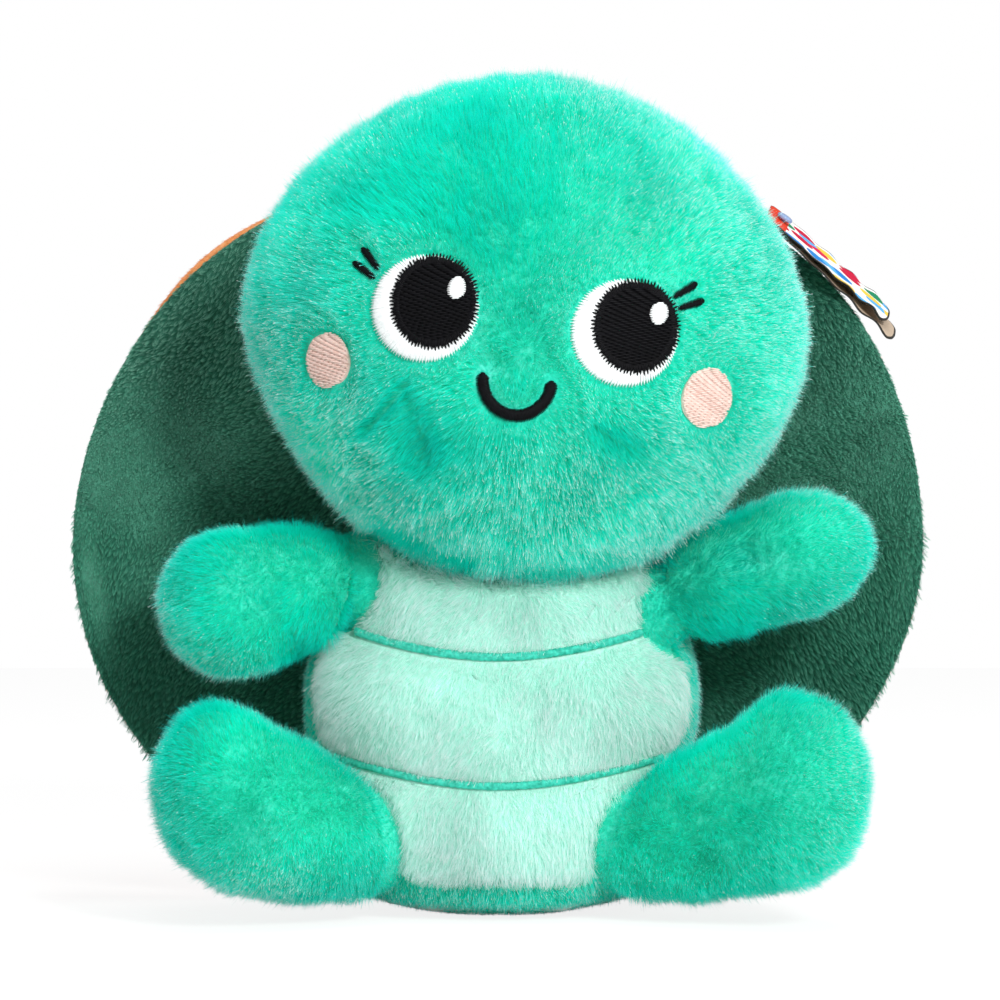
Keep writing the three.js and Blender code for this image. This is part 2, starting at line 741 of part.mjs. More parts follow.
function addTag() {
  const frame = tagFrame();
  const hole = new THREE.CylinderGeometry(tagHoleRadius, tagHoleRadius, cutOverrun, coarse.around);
  const card = tagLeaf(tagOpening / 2).add(tagLeaf(-tagOpening / 2)).subtract(solidOf(hole.rotateX(Math.PI / 2)));
  add('hang_tag', card, cloth(colours.card, 0.4), frame);
  const buttonBase = (tagHoleInset + buttonWidth / 2) * Math.tan(tagOpening / 2) + cardThickness / 2 + layerGap;
  const postLength = tagStandoff - layerGap + buttonBase + buttonThickness / 2;
  const post = new THREE.CylinderGeometry(postThickness / 2, postThickness / 2, postLength, coarse.along);
  post.rotateX(Math.PI / 2).translate(0, 0, layerGap - tagStandoff + postLength / 2);
  const button = new THREE.CylinderGeometry(1, 1, buttonThickness, coarse.around).rotateX(Math.PI / 2);
  button.scale(buttonWidth / 2, buttonHeight / 2, 1).translate(0, 0, buttonBase + buttonThickness / 2);
  add('tag_loop', solidOf(post).add(solidOf(button)), cloth(colours.plastic, 0.3), frame);
}

Object.entries(limbs).forEach(([name, form]) => addLimb(name, form));
addHead();
addTorso();
addBelly();
addShell();
addFace();
addTag();

export default toy;
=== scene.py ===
# A sitting plush turtle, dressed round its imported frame, in metres. Left and right are the turtle's own.
import math

import bmesh
import bpy
import numpy as np
from mathutils import Matrix, Vector, kdtree


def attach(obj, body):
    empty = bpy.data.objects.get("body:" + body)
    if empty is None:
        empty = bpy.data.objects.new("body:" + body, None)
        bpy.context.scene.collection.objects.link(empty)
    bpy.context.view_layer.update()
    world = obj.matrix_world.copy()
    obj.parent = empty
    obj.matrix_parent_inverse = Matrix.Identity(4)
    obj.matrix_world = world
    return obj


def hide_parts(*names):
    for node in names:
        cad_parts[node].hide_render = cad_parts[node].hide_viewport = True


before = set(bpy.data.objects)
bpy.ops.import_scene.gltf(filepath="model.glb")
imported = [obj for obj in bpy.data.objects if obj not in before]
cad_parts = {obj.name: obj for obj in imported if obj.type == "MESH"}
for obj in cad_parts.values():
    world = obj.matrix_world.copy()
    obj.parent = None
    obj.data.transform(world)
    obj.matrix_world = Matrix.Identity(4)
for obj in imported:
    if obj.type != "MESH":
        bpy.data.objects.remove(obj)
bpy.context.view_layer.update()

# Studio
# A level camera far in front, two soft lamps and an even sky. The floor is a wide sheet of white paper,
# which takes the turtle's shadow.
MM = 0.001
camera_distance = 1100 * MM
camera_height = 115.4 * MM
camera_aside = 0.56 * MM
view_width = 280 * MM

camera = bpy.data.objects.new("camera", bpy.data.cameras.new("camera"))
camera.location = (camera_aside, -camera_distance, camera_height)
camera.rotation_euler = (math.pi / 2, 0, 0)
camera.data.angle = 2 * math.atan(view_width / 2 / camera_distance)
bpy.context.collection.objects.link(camera)
bpy.context.scene.camera = camera
bpy.context.scene.view_settings.view_transform = "Standard"


def linear(colour):
    """The linear colour of an sRGB hex value."""
    shares = [int(colour[i:i + 2], 16) / 255 for i in (1, 3, 5)]
    return [v / 12.92 if v <= 0.04045 else ((v + 0.055) / 1.055) ** 2.4 for v in shares] + [1]


def add(tree, kind, values=None, links=None, stops=(), **settings):
    """Adds a node with its settings, its fixed values, the nodes or sockets that feed it and, on a colour
    ramp, its stops from low to high."""
    node = tree.nodes.new(kind)
    for name, value in settings.items():
        setattr(node, name, value)
    for socket, value in (values or {}).items():
        node.inputs[socket].default_value = value
    for socket, source in (links or {}).items():
        if isinstance(source, bpy.types.Node):
            source = next(output for output in source.outputs if output.enabled)
        tree.links.new(source, node.inputs[socket])
    for number, (place, colour) in enumerate(stops):
        stop = node.color_ramp.elements[number] if number < 2 else node.color_ramp.elements.new(place)
        stop.position, stop.color = place, linear(colour)
    return node


def new_material(name):
    material = bpy.data.materials.new(name)
    material.use_nodes = True
    material.node_tree.nodes.clear()
    return material, material.node_tree


def finish_material(tree, shader):
    add(tree, "ShaderNodeOutputMaterial", links={"Surface": shader})


def white_paper():
    """Matt white paper that lights the toy from below. The camera sees it near full white, with a part
    of the shadow on it."""
    material, tree = new_material("white_paper")
    paper = add(tree, "ShaderNodeBsdfDiffuse", {"Color": linear("#e8e8e8")})
    shaded = add(tree, "ShaderNodeBsdfDiffuse", {"Color": linear("#8a8a8a")})
    glow = add(tree, "ShaderNodeEmission", {"Color": linear("#ffffff"), "Strength": 0.84})
    seen = add(tree, "ShaderNodeAddShader", links={0: shaded, 1: glow})
    path = add(tree, "ShaderNodeLightPath")
    both = add(tree, "ShaderNodeMixShader", links={"Fac": path.outputs["Is Camera Ray"], 1: paper, 2: seen})
    finish_material(tree, both)
    return material


floor_side, floor_front, floor_back = 3000 * MM, -3000 * MM, 1600 * MM
floor_mesh = bpy.data.meshes.new("floor")
floor_mesh.from_pydata([(-floor_side, floor_front, 0), (floor_side, floor_front, 0),
                        (floor_side, floor_back, 0), (-floor_side, floor_back, 0)], [], [(0, 1, 2, 3)])
floor_mesh.materials.append(white_paper())
floor = bpy.data.objects.new("floor", floor_mesh)
bpy.context.collection.objects.link(floor)

sky = bpy.data.worlds.new("even_sky")
bpy.context.scene.world = sky
sky.use_nodes = True
sky.node_tree.nodes.clear()
sky_light = add(sky.node_tree, "ShaderNodeBackground", {"Color": (1, 1, 1, 1), "Strength": 0.46})
sky_seen = add(sky.node_tree, "ShaderNodeBackground", {"Color": (1, 1, 1, 1), "Strength": 1.0})
sky_path = add(sky.node_tree, "ShaderNodeLightPath")
sky_mix = add(sky.node_tree, "ShaderNodeMixShader",
              links={"Fac": sky_path.outputs["Is Camera Ray"], 1: sky_light, 2: sky_seen})
add(sky.node_tree, "ShaderNodeOutputWorld", links={"Surface": sky_mix})


def add_lamp(name, place, target, size, power):
    """A round soft lamp that faces its target. Its power is in watts."""
    lamp = bpy.data.objects.new(name, bpy.data.lights.new(name, "AREA"))
    lamp.data.shape = "DISK"
    lamp.data.size = size
    lamp.data.energy = power
    lamp.location = place
    lamp.rotation_euler = (Vector(target) - Vector(place)).to_track_quat("-Z", "Y").to_euler()
    bpy.context.collection.objects.link(lamp)


toy_middle = (0, 0, 110 * MM)
add_lamp("front_lamp", (550 * MM, -1200 * MM, 700 * MM), toy_middle, size=350 * MM, power=15.5)
add_lamp("top_lamp", (150 * MM, -350 * MM, 1300 * MM), toy_middle, size=600 * MM, power=5)

# Stuffed forms
# Each stuffed piece is round lobes of filling that melt into each other, cut back where a neighbour
# presses on it. The lobes are those of the frame's own solids, so the skins lie where the solids do.
blend_power = 9
oval = (2.0, 2.0)


def scaled(shares, half, tilt=0.0, squareness=oval):
    """Lobes from their places and sizes as shares of a form's half sizes. The first lobe may be nearer a
    diamond than an oval from the front, with a squareness under 2 above its middle and below it."""
    return [(np.array(at) * half, np.array(size) * half, tilt, oval if number else squareness)
            for number, (at, size) in enumerate(shares)]


class StuffedForm:
    """Lobes that melt into each other, in a frame of their own that placing sets on the toy. The heart is a
    point inside, and keeps are tests of where the form may be."""

    def __init__(self, placing, lobes, heart, keeps=()):
        self.placing = np.array(placing)
        self.undo = np.linalg.inv(self.placing)
        self.lobes = lobes
        self.heart = np.array(heart, float)
        self.keeps = keeps

    def fullness(self, points, inset=0.0):
        """Under 1 inside the form, in the form's own frame."""
        total = 0
        for at, size, tilt, squareness in self.lobes:
            offset = points - at
            along = np.abs(offset[:, 0] * math.cos(tilt) - offset[:, 2] * math.sin(tilt)) / (size[0] - inset)
            across = offset[:, 1] / (size[1] - inset)
            up = (offset[:, 0] * math.sin(tilt) + offset[:, 2] * math.cos(tilt)) / (size[2] - inset)
            power = np.where(up > 0, squareness[0], squareness[1])
            up = np.abs(up)
            frontal = (along ** power + up ** power) ** (1 / power)
            total = total + (frontal ** 2 + across ** 2 + 1e-12) ** (-blend_power / 2)
        return total ** (-1 / blend_power)

    def place(self, points):
        return self.turn(points) + self.placing[:3, 3]

    def turn(self, directions):
        return directions @ self.placing[:3, :3].T

    def own(self, points):
        """Places on the toy, in the form's own frame."""
        return points @ self.undo[:3, :3].T + self.undo[:3, 3]

    def holds_placed(self, points, inset=0.0):
        return self.fullness(self.own(points), inset) < 1

    def holds(self, points, inset=0.0):
        held = self.fullness(points, inset) <= 1
        placed = self.place(points)
        for keep in self.keeps:
            held &= keep(placed, inset)
        return held

    def reach(self, origins, rays, inset=0.0, steps=40, halvings=14):
        """How far each ray runs before it leaves the form."""
        longest = 2 * max(lobe[1].max() for lobe in self.lobes)
        longest += max(np.linalg.norm(lobe[0]) for lobe in self.lobes)
        inner = np.zeros(len(rays))
        outer = np.full(len(rays), longest / steps)
        going = np.ones(len(rays), bool)
        for _ in range(steps):
            going[going] = self.holds((origins + rays * outer[:, None])[going], inset)
            inner[going] = outer[going]
            outer[going] += longest / steps
        for _ in range(halvings):
            middle = (inner + outer) / 2
            held = self.holds(origins + rays * middle[:, None], inset)
            inner = np.where(held, middle, inner)
            outer = np.where(held, outer, middle)
        return inner

    def outward(self, points):
        steps = 0.1 * MM * np.eye(3)
        slope = np.array([self.fullness(points + step) - self.fullness(points - step) for step in steps]).T
        return slope / np.linalg.norm(slope, axis=1)[:, None]


# Head
# A big ball of long-pile polyester plush, wider than it is high and fuller at the chin, stuffed hard
# with fibre. Two front panels meet in a seam down the face, and it is sewn on at the neck.
head_size = np.array([150.5, 116, 134]) * MM
head_squareness = (1.86, 1.7)
head_roll = math.radians(7)
neck_pivot = np.array([0, -3, 103]) * MM
head_rise, head_forward = 60.5 * MM, 7 * MM
head_shares = [([0, 0, 0], [1, 1, 1]), ([0.02, -0.26, -0.34], [0.65, 0.68, 0.58])]
head_lobes = scaled(head_shares, head_size / 2, squareness=head_squareness)
head_clearance = 1.4 * MM
head_centre = neck_pivot + [head_rise * math.sin(head_roll), -head_forward, head_rise * math.cos(head_roll)]
head_placing = Matrix.Translation(head_centre) @ Matrix.Rotation(head_roll, 4, "Y")
head_form = StuffedForm(head_placing, head_lobes, (0, 0, 0))
head_turns = [math.radians(a) for a in (0, -20, 20)]
head_nods = [math.radians(a) for a in (0, -8, 4)]

pivot_out = Matrix.Translation(neck_pivot)
neck_axis = head_placing.to_3x3() @ Vector((0, 0, 1))
head_poses_undone = [
    np.array((pivot_out @ Matrix.Rotation(nod, 4, "X") @ Matrix.Rotation(turn, 4, neck_axis)
              @ pivot_out.inverted()).inverted())
    for nod in head_nods for turn in head_turns]


def clear_of_head(points, inset):
    """Whether points stay clear of the head however it nods and turns."""
    clear = np.ones(len(points), bool)
    for undo in head_poses_undone:
        moved = points @ undo[:3, :3].T + undo[:3, 3]
        clear &= ~head_form.holds_placed(moved, -head_clearance - inset)
    return clear


def ripple(points, length, seed, waves=7):
    """A smooth random field of about -1 to 1, whose bumps are about one length apart."""
    rng = np.random.default_rng(seed)
    total = np.zeros(len(points))
    for _ in range(waves):
        way = rng.normal(size=3)
        way *= 2 * math.pi / length * rng.uniform(0.5, 1.1) / np.linalg.norm(way)
        total += np.sin(points @ way + rng.uniform(0, 2 * math.pi))
    return total / math.sqrt(waves / 2) / 1.6


def unit(vectors):
    return vectors / np.maximum(np.linalg.norm(vectors, axis=1), 1e-9)[:, None]


def new_piece(name, points, faces, material, body, slot, *nodes):
    """A mesh piece that rides on a body, takes its finish from a material and stands for CAD nodes. Its slot
    is not used.
    """
    mesh = bpy.data.meshes.new(name)
    mesh.from_pydata([tuple(p) for p in points], [], [tuple(f) for f in faces])
    mesh.materials.append(material)
    mesh.polygons.foreach_set("use_smooth", [True] * len(mesh.polygons))
    piece = bpy.data.objects.new(name, mesh)
    bpy.context.collection.objects.link(piece)
    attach(piece, body)
    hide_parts(*nodes)
    return piece


def ball_rays(fineness):
    """Even rays over a ball, with the triangles that join them."""
    ball = bpy.data.meshes.new("rays")
    mesh = bmesh.new()
    bmesh.ops.create_icosphere(mesh, subdivisions=fineness, radius=1)
    mesh.to_mesh(ball)
    mesh.free()
    rays = np.array([v.co for v in ball.vertices])
    faces = [tuple(p.vertices) for p in ball.polygons]
    bpy.data.meshes.remove(ball)
    return unit(rays), faces


def tufted(points, normals, length, height, seed):
    """Lets a skin's surface stand up in soft tufts, as the pile does over the cloth."""
    coarse = ripple(points, length * 2.6, seed)
    fine = ripple(points, length, seed + 1, waves=9)
    return points + normals * (height * (0.5 * coarse + 0.5 * fine))[:, None]


def stuffed_skin(form, fineness):
    """Points, outward directions and faces of a form's skin, in place."""
    rays, faces = ball_rays(fineness)
    origins = np.repeat(form.heart[None], len(rays), 0)
    points = origins + rays * form.reach(origins, rays)[:, None]
    return form.place(points), form.turn(rays), faces


def plush_cloth(name, root, middle, tip, tuft_length):
    """Polyester plush seen as a surface: streaks of deep and pale pile, a soft sheen and a tufted bump."""
    material, tree = new_material(name)
    place = add(tree, "ShaderNodeTexCoord").outputs["Object"]
    patches = add(tree, "ShaderNodeTexNoise", {"Scale": 1 / (18 * MM), "Detail": 3.0, "Roughness": 0.6},
                  {"Vector": place})
    tufts = add(tree, "ShaderNodeTexNoise", {"Scale": 1 / tuft_length, "Detail": 6.0, "Roughness": 0.7,
                                             "Distortion": 0.6}, {"Vector": place})
    both = add(tree, "ShaderNodeMix", {"Factor": 0.62}, {"A": patches, "B": tufts})
    shades = add(tree, "ShaderNodeValToRGB", links={"Fac": both},
                 stops=((0.36, root), (0.5, middle), (0.66, tip)))
    bump = add(tree, "ShaderNodeBump", {"Strength": 0.6, "Distance": 0.8 * MM}, {"Height": tufts})
    cloth = add(tree, "ShaderNodeBsdfPrincipled",
                {"Roughness": 0.9, "Sheen Weight": 0.25, "Sheen Roughness": 0.5},
                {"Base Color": shades, "Normal": bump})
    finish_material(tree, cloth)
    return material


def pile_fibre(name, root, middle, tip, painted_light, sheen_from=0.7):
    """Polyester fibre, deep at its root, paler at its tip, no two alike. Light passes through it. Where a
    strand's painted light is above 0, its tip is mixed towards a pale colour as painted sheen, and a few
    strands end in a painted glint. Below 0 its colour is darkened as painted shade."""
    material, tree = new_material(name)
    strand = add(tree, "ShaderNodeHairInfo").outputs
    along = {"Value": strand["Intercept"]}
    place = add(tree, "ShaderNodeTexCoord").outputs["Object"]
    shades = add(tree, "ShaderNodeValToRGB", links={"Fac": strand["Intercept"]},
                 stops=((0, root), (0.55, middle), (0.95, tip)))
    patches = add(tree, "ShaderNodeTexNoise", {"Scale": 1 / (34 * MM), "Detail": 1.0, "Roughness": 0.5},
                  {"Vector": place})
    odds = add(tree, "ShaderNodeMix", {"Factor": 0.4}, {"A": patches, "B": strand["Random"]})
    light = add(tree, "ShaderNodeMapRange", {"From Min": 0.25, "From Max": 0.75, "To Min": 0.8,
                                             "To Max": 1.18}, {"Value": odds})
    pale = add(tree, "ShaderNodeAttribute", attribute_name="painted_light").outputs["Fac"]
    # Painted shade: where a strand's painted light is below 0, its colour is darkened to as little as 0.78.
    away = add(tree, "ShaderNodeMapRange", {"From Min": -1.0, "From Max": 0.0, "To Min": 0.78, "To Max": 1.0},
               {"Value": pale})
    depth = add(tree, "ShaderNodeMath", links={0: light, 1: away}, operation="MULTIPLY")
    shaded = add(tree, "ShaderNodeHueSaturation", links={"Value": depth, "Color": shades})
    # Painted sheen: the tips of strands above 0 are mixed towards the pale colour, and a few strands end in a
    # painted glint.
    at_tip = add(tree, "ShaderNodeMapRange", {"From Min": sheen_from, "From Max": 0.95}, along)
    tip_sheen = add(tree, "ShaderNodeMath", links={0: pale, 1: at_tip}, operation="MULTIPLY")
    bright = add(tree, "ShaderNodeAttribute", attribute_name="glint").outputs["Fac"]
    at_end = add(tree, "ShaderNodeMapRange", {"From Min": 0.84, "From Max": 0.92}, along)
    glint = add(tree, "ShaderNodeMath", links={0: bright, 1: at_end}, operation="MULTIPLY")
    painted_highlight = add(tree, "ShaderNodeMath", links={0: tip_sheen, 1: glint}, operation="MAXIMUM")
    colour = add(tree, "ShaderNodeMix", {"B": linear(painted_light)}, {"Factor": painted_highlight, "A": shaded},
                 data_type="RGBA")
    fibre = add(tree, "ShaderNodeBsdfPrincipled", {"Roughness": 0.5, "Specular IOR Level": 0.16},
                {"Base Color": colour})
    through = add(tree, "ShaderNodeBsdfTranslucent", links={"Color": colour})
    both = add(tree, "ShaderNodeMixShader", {"Fac": 0.4}, {1: fibre, 2: through})
    finish_material(tree, both)
    return material


def pile_roots(skin, per_mm2, rng):
    """Random roots over a skin, with the skin's outward direction at each."""
    def threes(items, key, kind=float):
        values = np.empty(len(items) * 3, kind)
        items.foreach_get(key, values)
        return values.reshape(-1, 3)

    mesh = skin.data
    mesh.calc_loop_triangles()
    points, normals = threes(mesh.vertices, "co"), threes(mesh.vertices, "normal")
    corners = threes(mesh.loop_triangles, "vertices", np.int32)
    a, b, c = (points[corners[:, i]] for i in range(3))
    areas = np.linalg.norm(np.cross(b - a, c - a), axis=1) / 2
    count = int(areas.sum() / MM ** 2 * per_mm2)
    picked = rng.choice(len(areas), count, p=areas / areas.sum())
    u, v = rng.random(count), rng.random(count)
    over = u + v > 1
    u[over], v[over] = 1 - u[over], 1 - v[over]
    weights = np.stack([1 - u - v, u, v], 1)[:, :, None]
    roots = (points[corners[picked]] * weights).sum(1)
    return roots, unit((normals[corners[picked]] * weights).sum(1))


def painted_tip_sheen(points, normals):
    """Where the pile's tips get painted sheen: along outlines, on what faces down and on what faces the toy's
    left, towards the front lamp. Patches of tone that differs at random lie over it."""
    below = np.clip(0.3 - normals[:, 2], 0, 1)
    aside = np.clip(normals[:, 0], 0, 0.7)
    painted_outline_sheen = 0.8 * (1 - np.abs(normals[:, 1])) ** 2
    return np.clip(below + 1.2 * aside + painted_outline_sheen + 0.14 + 0.24 * ripple(points, 30 * MM, 77), 0.03, 1)


# A pile strand has six points, none grows that would be trimmed under a twelfth, and none lies lower than
# just over the floor
strand_points, shortest_share, over_floor = 6, 0.08, 0.4 * MM


def grow_pile(skin, material, length, per_mm2, width, stand, comb, seed, trim, pale=painted_tip_sheen, unruly=0.25,
              clump=0.28, clump_size=0.9 * MM, painted_glint_share=0.05, stray=0.12):
    """Grows a pile on a skin. stand is how upright it is, comb gives its lie, trim its share of length and
    pale the painted sheen on its tips, and below 0 their painted shade. unruly is how far strands stray from
    the lie, clump how much they gather, sparkle the share of strands that end in a painted glint and stray
    the share of over-long ones."""
    rng = np.random.default_rng(seed)
    roots, normals = pile_roots(skin, per_mm2, rng)
    share = trim(roots, normals)
    grows = share > shortest_share
    roots, normals, share = roots[grows], normals[grows], share[grows]
    count = len(roots)
    tousle, ruffle = (np.stack([ripple(roots, size, first + i) for i in range(3)], 1)
                      for size, first in ((26 * MM, seed + 11), (7 * MM, seed + 21)))
    lie = comb(roots) + 0.3 * tousle + 0.2 * ruffle + rng.normal(0, unruly, (count, 3))
    lie -= normals * (lie * normals).sum(1)[:, None]
    lie = unit(lie) * np.minimum(np.linalg.norm(lie, axis=1), 1.2)[:, None]
    lengths = length * share * rng.uniform(0.6, 1.05, count) * (1 + 0.1 * ripple(roots, 9 * MM, seed + 31))
    lengths *= np.where(rng.random(count) < stray, rng.uniform(1.1, 1.5, count), 1)
    rise = np.clip(stand + rng.normal(0, 0.07, count), 0.15, 1.0)
    t = np.linspace(0, 1, strand_points)[None, :, None]
    way = normals * rise[:, None] + lie * np.sqrt(1 - rise ** 2)[:, None]
    curve = (normals * (1 - rise)[:, None] * 0.6)[:, None, :] * (t - t * t) + way[:, None, :] * t
    strands = roots[:, None, :] + curve * lengths[:, None, None]
    spacing = clump_size / MM
    leaders = rng.choice(count, max(1, int(count / (per_mm2 * spacing * spacing))), replace=False)
    tree = kdtree.KDTree(len(leaders))
    for i, leader in enumerate(leaders):
        tree.insert(roots[leader], i)
    tree.balance()
    led_by = leaders[np.array([tree.find(root)[1] for root in roots])]
    as_long = (share / share[led_by]).clip(0, 1)[:, None, None]
    strands += (strands[led_by] - strands) * (clump * t ** 1.6) * as_long
    strands[:, :, 2] = np.maximum(strands[:, :, 2], over_floor)
    pile = bpy.data.hair_curves.new(skin.name + "_pile")
    pile.add_curves([strand_points] * count)
    pile.attributes["position"].data.foreach_set("vector", strands.astype(np.float32).ravel())
    # Painted light per strand: sheen on its tips above 0, shade below 0, and a painted glint on a few
    # strands.
    tips = pale(roots, normals)
    bright = rng.random(count) < painted_glint_share * np.clip(tips, 0, 1)
    taper = np.where(bright[:, None], -0.5, 0.75)
    radii = (width / 2) * (1 - taper * t[0, :, 0] ** 1.5)
    painted_light = tips * np.where((rng.random(count) < 0.5) | (tips < 0), 1.0, 0.4)
    for key, domain, values in (("radius", "POINT", radii), ("painted_light", "CURVE", painted_light),
                                ("glint", "CURVE", bright)):
        pile.attributes.new(key, "FLOAT", domain).data.foreach_set("value", values.astype(np.float32).ravel())
    pile.materials.append(material)
    grown = bpy.data.objects.new(skin.name + "_pile", pile)
    bpy.context.collection.objects.link(grown)
    grown.parent = skin
    return grown


teal_cloth = plush_cloth("teal_plush_cloth", "#00b898", "#0fd3b2", "#5eeed8", 2.2 * MM)
# The fibre's last colour is the pale colour of its painted sheen.
teal_fibre = pile_fibre("teal_polyester_fibre", "#00dcc0", "#00fae6", "#20fff4", "#f4ffff")
face_middle = head_centre + np.array([0, -58, -8]) * MM


def comb_head(points):
    """The pile of the head lies outward from the face and a little down."""
    away = unit(points - face_middle)
    return 0.8 * away + [0, 0.1, -0.12]


# Face, measured across and up the front of the head from its middle
face_shift = -0.3 * MM
eye_spread, eye_rise = 26.4 * MM, -0.5 * MM
eye_half = np.array([14.1, 14.0]) * MM
pupil_half = np.array([11.3, 12.2]) * MM
pupil_offset = np.array([2.6, 2.0]) * MM
glint_half = np.array([2.4, 2.9]) * MM
glint_offset = pupil_offset + np.array([5.4, 4.1]) * MM
cheek_spread = 50.6 * MM
cheeks = {"left": ([6.8, 8.0], -14.2, math.radians(-22)), "right": ([5.95, 7.3], -16.5, math.radians(26))}
mouth_half_width, mouth_drop, mouth_depth, mouth_stroke = 9.0 * MM, 16.4 * MM, 9.2 * MM, 3.3 * MM
mouth_half_arc = math.radians(95)
lash_half = np.array([3.8, 0.85]) * MM
lash_shares = {"upper_left": ([1.04, 0.96], 38), "lower_left": ([1.18, 0.71], 25),
               "upper_right": ([-1.13, 0.83], 132), "lower_right": ([-1.22, 0.6], 147)}

ovals = {}
for side, sign in (("left", 1), ("right", -1)):
    eye = np.array([sign * eye_spread, eye_rise])
    ovals["eye_white_" + side] = (eye, eye_half, 0.0)
    ovals["pupil_" + side] = (eye + pupil_offset, pupil_half, 0.0)
    ovals["eye_glint_" + side] = (eye + glint_offset, glint_half, 0.0)
    half, drop, tilt = cheeks[side]
    ovals["cheek_" + side] = (np.array([sign * cheek_spread, drop * MM]), np.array(half) * MM, tilt)
for name, (share, tilt) in lash_shares.items():
    eye = np.array([eye_spread if "left" in name else -eye_spread, eye_rise])
    ovals["lash_" + name] = (eye + np.array(share) * eye_half, lash_half, math.radians(tilt))


def turned(offsets, tilt):
    """Offsets turned by a tilt, anticlockwise as seen from in front of the turtle."""
    across = offsets[..., 0] * math.cos(tilt) - offsets[..., 1] * math.sin(tilt)
    up = offsets[..., 0] * math.sin(tilt) + offsets[..., 1] * math.cos(tilt)
    return np.stack([across, up], -1)


def on_front(points):
    """Places on the toy in the head's own frame, and across and up its front."""
    own = head_form.own(points)
    return own, own[:, [0, 2]] - [face_shift, 0]


def along_front(ways):
    """Directions across and up the front of the head, as directions on the toy."""
    return head_form.turn(np.stack([ways[:, 0], np.zeros(len(ways)), ways[:, 1]], 1))


def mouth_line(angles):
    """Places on the middle line of the mouth."""
    return np.stack([mouth_half_width * np.sin(angles), -mouth_drop - mouth_depth * np.cos(angles)], 1)


def off_embroidery(points):
    """How far pile roots lie from the nearest embroidery, and which way is away from it."""
    own, flat = on_front(points)
    far = 1000 * MM
    nearest = np.full(len(points), far)
    away = np.zeros((len(points), 2))
    for name, (centre, half, tilt) in ovals.items():
        if name.startswith(("pupil", "eye_glint")):
            continue
        offset = turned(flat - centre, -tilt)
        share = np.linalg.norm(offset / half, axis=1)
        distance = (share - 1) * np.linalg.norm(offset, axis=1) / np.maximum(share, 1e-6)
        closer = distance < nearest
        nearest[closer] = distance[closer]
        away[closer] = (flat - centre)[closer]
    angle = np.clip(np.arctan2(flat[:, 0], -(flat[:, 1] + mouth_drop)), -mouth_half_arc, mouth_half_arc)
    from_lip = flat - mouth_line(angle)
    distance = np.linalg.norm(from_lip, axis=1) - mouth_stroke / 2
    closer = distance < nearest
    nearest[closer] = distance[closer]
    away[closer] = from_lip[closer]
    nearest[own[:, 1] > 0] = far
    return nearest, along_front(unit(away))


# Creases of the head's cloth: from, to, depth and half width in mm. The first three are the seam of the
# two front panels, which is drawn in at the chin and on the crown.
head_creases = [((3, -74), (2.6, -56), 0.45, 3.5), ((2.6, -56), (2.6, -44), 0.4, 2.4),
                ((2.4, 20), (2.4, 56), 0.5, 2.0), ((-28, -20), (-37, -33), 1.4, 2.4),
                ((-27, -24), (-21, -36), 1.2, 5.0), ((-31, -57), (-6, -62), 1.0, 2.8),
                ((21, -25), (30, -29), 0.9, 4.0), ((8, -62), (30, -58), 0.6, 3.0)]


def creased(points):
    """How deep a place on the head is drawn in, how near it is to a crease and which way is away from it."""
    own, flat = on_front(points)
    flat = flat / MM
    deep, nearness, away = np.zeros(len(points)), np.zeros(len(points)), np.zeros((len(points), 2))
    for start, end, depth, half_width in head_creases:
        run = np.subtract(end, start)
        along = np.clip((flat - start) @ run / (run @ run), 0, 1)
        offset = flat - start - along[:, None] * run
        near = np.exp(-(np.linalg.norm(offset, axis=1) / half_width) ** 2) * (own[:, 1] < 0)
        deep = np.maximum(deep, depth * near)
        closer = near * depth > nearness
        nearness[closer] = near[closer] * depth
        away[closer] = offset[closer]
    return deep * MM, nearness, along_front(unit(away))


def comb_face(points):
    """The head's pile lies away from the embroidery and out of the creases."""
    distance, away = off_embroidery(points)
    near = np.exp(-np.clip(distance, 0, 1) / (3 * MM))[:, None]
    _, crease, from_crease = creased(points)
    out_of_crease = 1.2 * from_crease * np.clip(crease - 0.5, 0, 1)[:, None]
    return comb_head(points) * (1 - near) + 1.4 * away * near + out_of_crease


def trim_face(points, normals):
    """The pile is trimmed short round the embroidery, lower in creases and fluffed out at the chin."""
    distance, _ = off_embroidery(points)
    share = 0.4 + 0.6 * np.clip(distance / (7 * MM), 0, 1)
    crease = creased(points)[1]
    chin = 1 + 0.55 * np.clip(-normals[:, 2] - 0.45, 0, 0.5) / 0.5 * (normals[:, 1] < 0.3)
    return np.where(distance < 0.25 * MM, 0, share * chin * (1 - 0.25 * np.clip(crease, 0, 1)))


# Patches of the face where fewer or more pale tips show, partly from the nap and partly as painted shade
# and painted highlight: middle, half sizes in mm and change
face_nap_and_painted_light = [((-25, -38), (9, 11), -0.62), ((-9.6, -34), (9, 7), -0.4), ((10, -46), (14, 9), 0.3),
            ((26, -26), (10, 6), -0.4), ((-60, 0), (9, 5), -0.5), ((-46, -46), (13, 10), 0.3),
            ((-12, 28), (16, 22), -0.35), ((26, 28), (14, 11), 0.3), ((-38, 15), (12, 3.5), 0.5),
            ((2, -16), (10, 7), -0.3), ((-50, 38), (12, 12), 0.25)]


def tip_patch_change(points, patches):
    """How much more of the pale tips shows at places seen from the front, from a list of patches. Above 0
    it adds painted sheen, below 0 painted shade.
    """
    flat = points[:, [0, 2]] / MM
    return sum(change * np.exp(-(((flat - middle) / half) ** 2).sum(1)) for middle, half, change in patches)


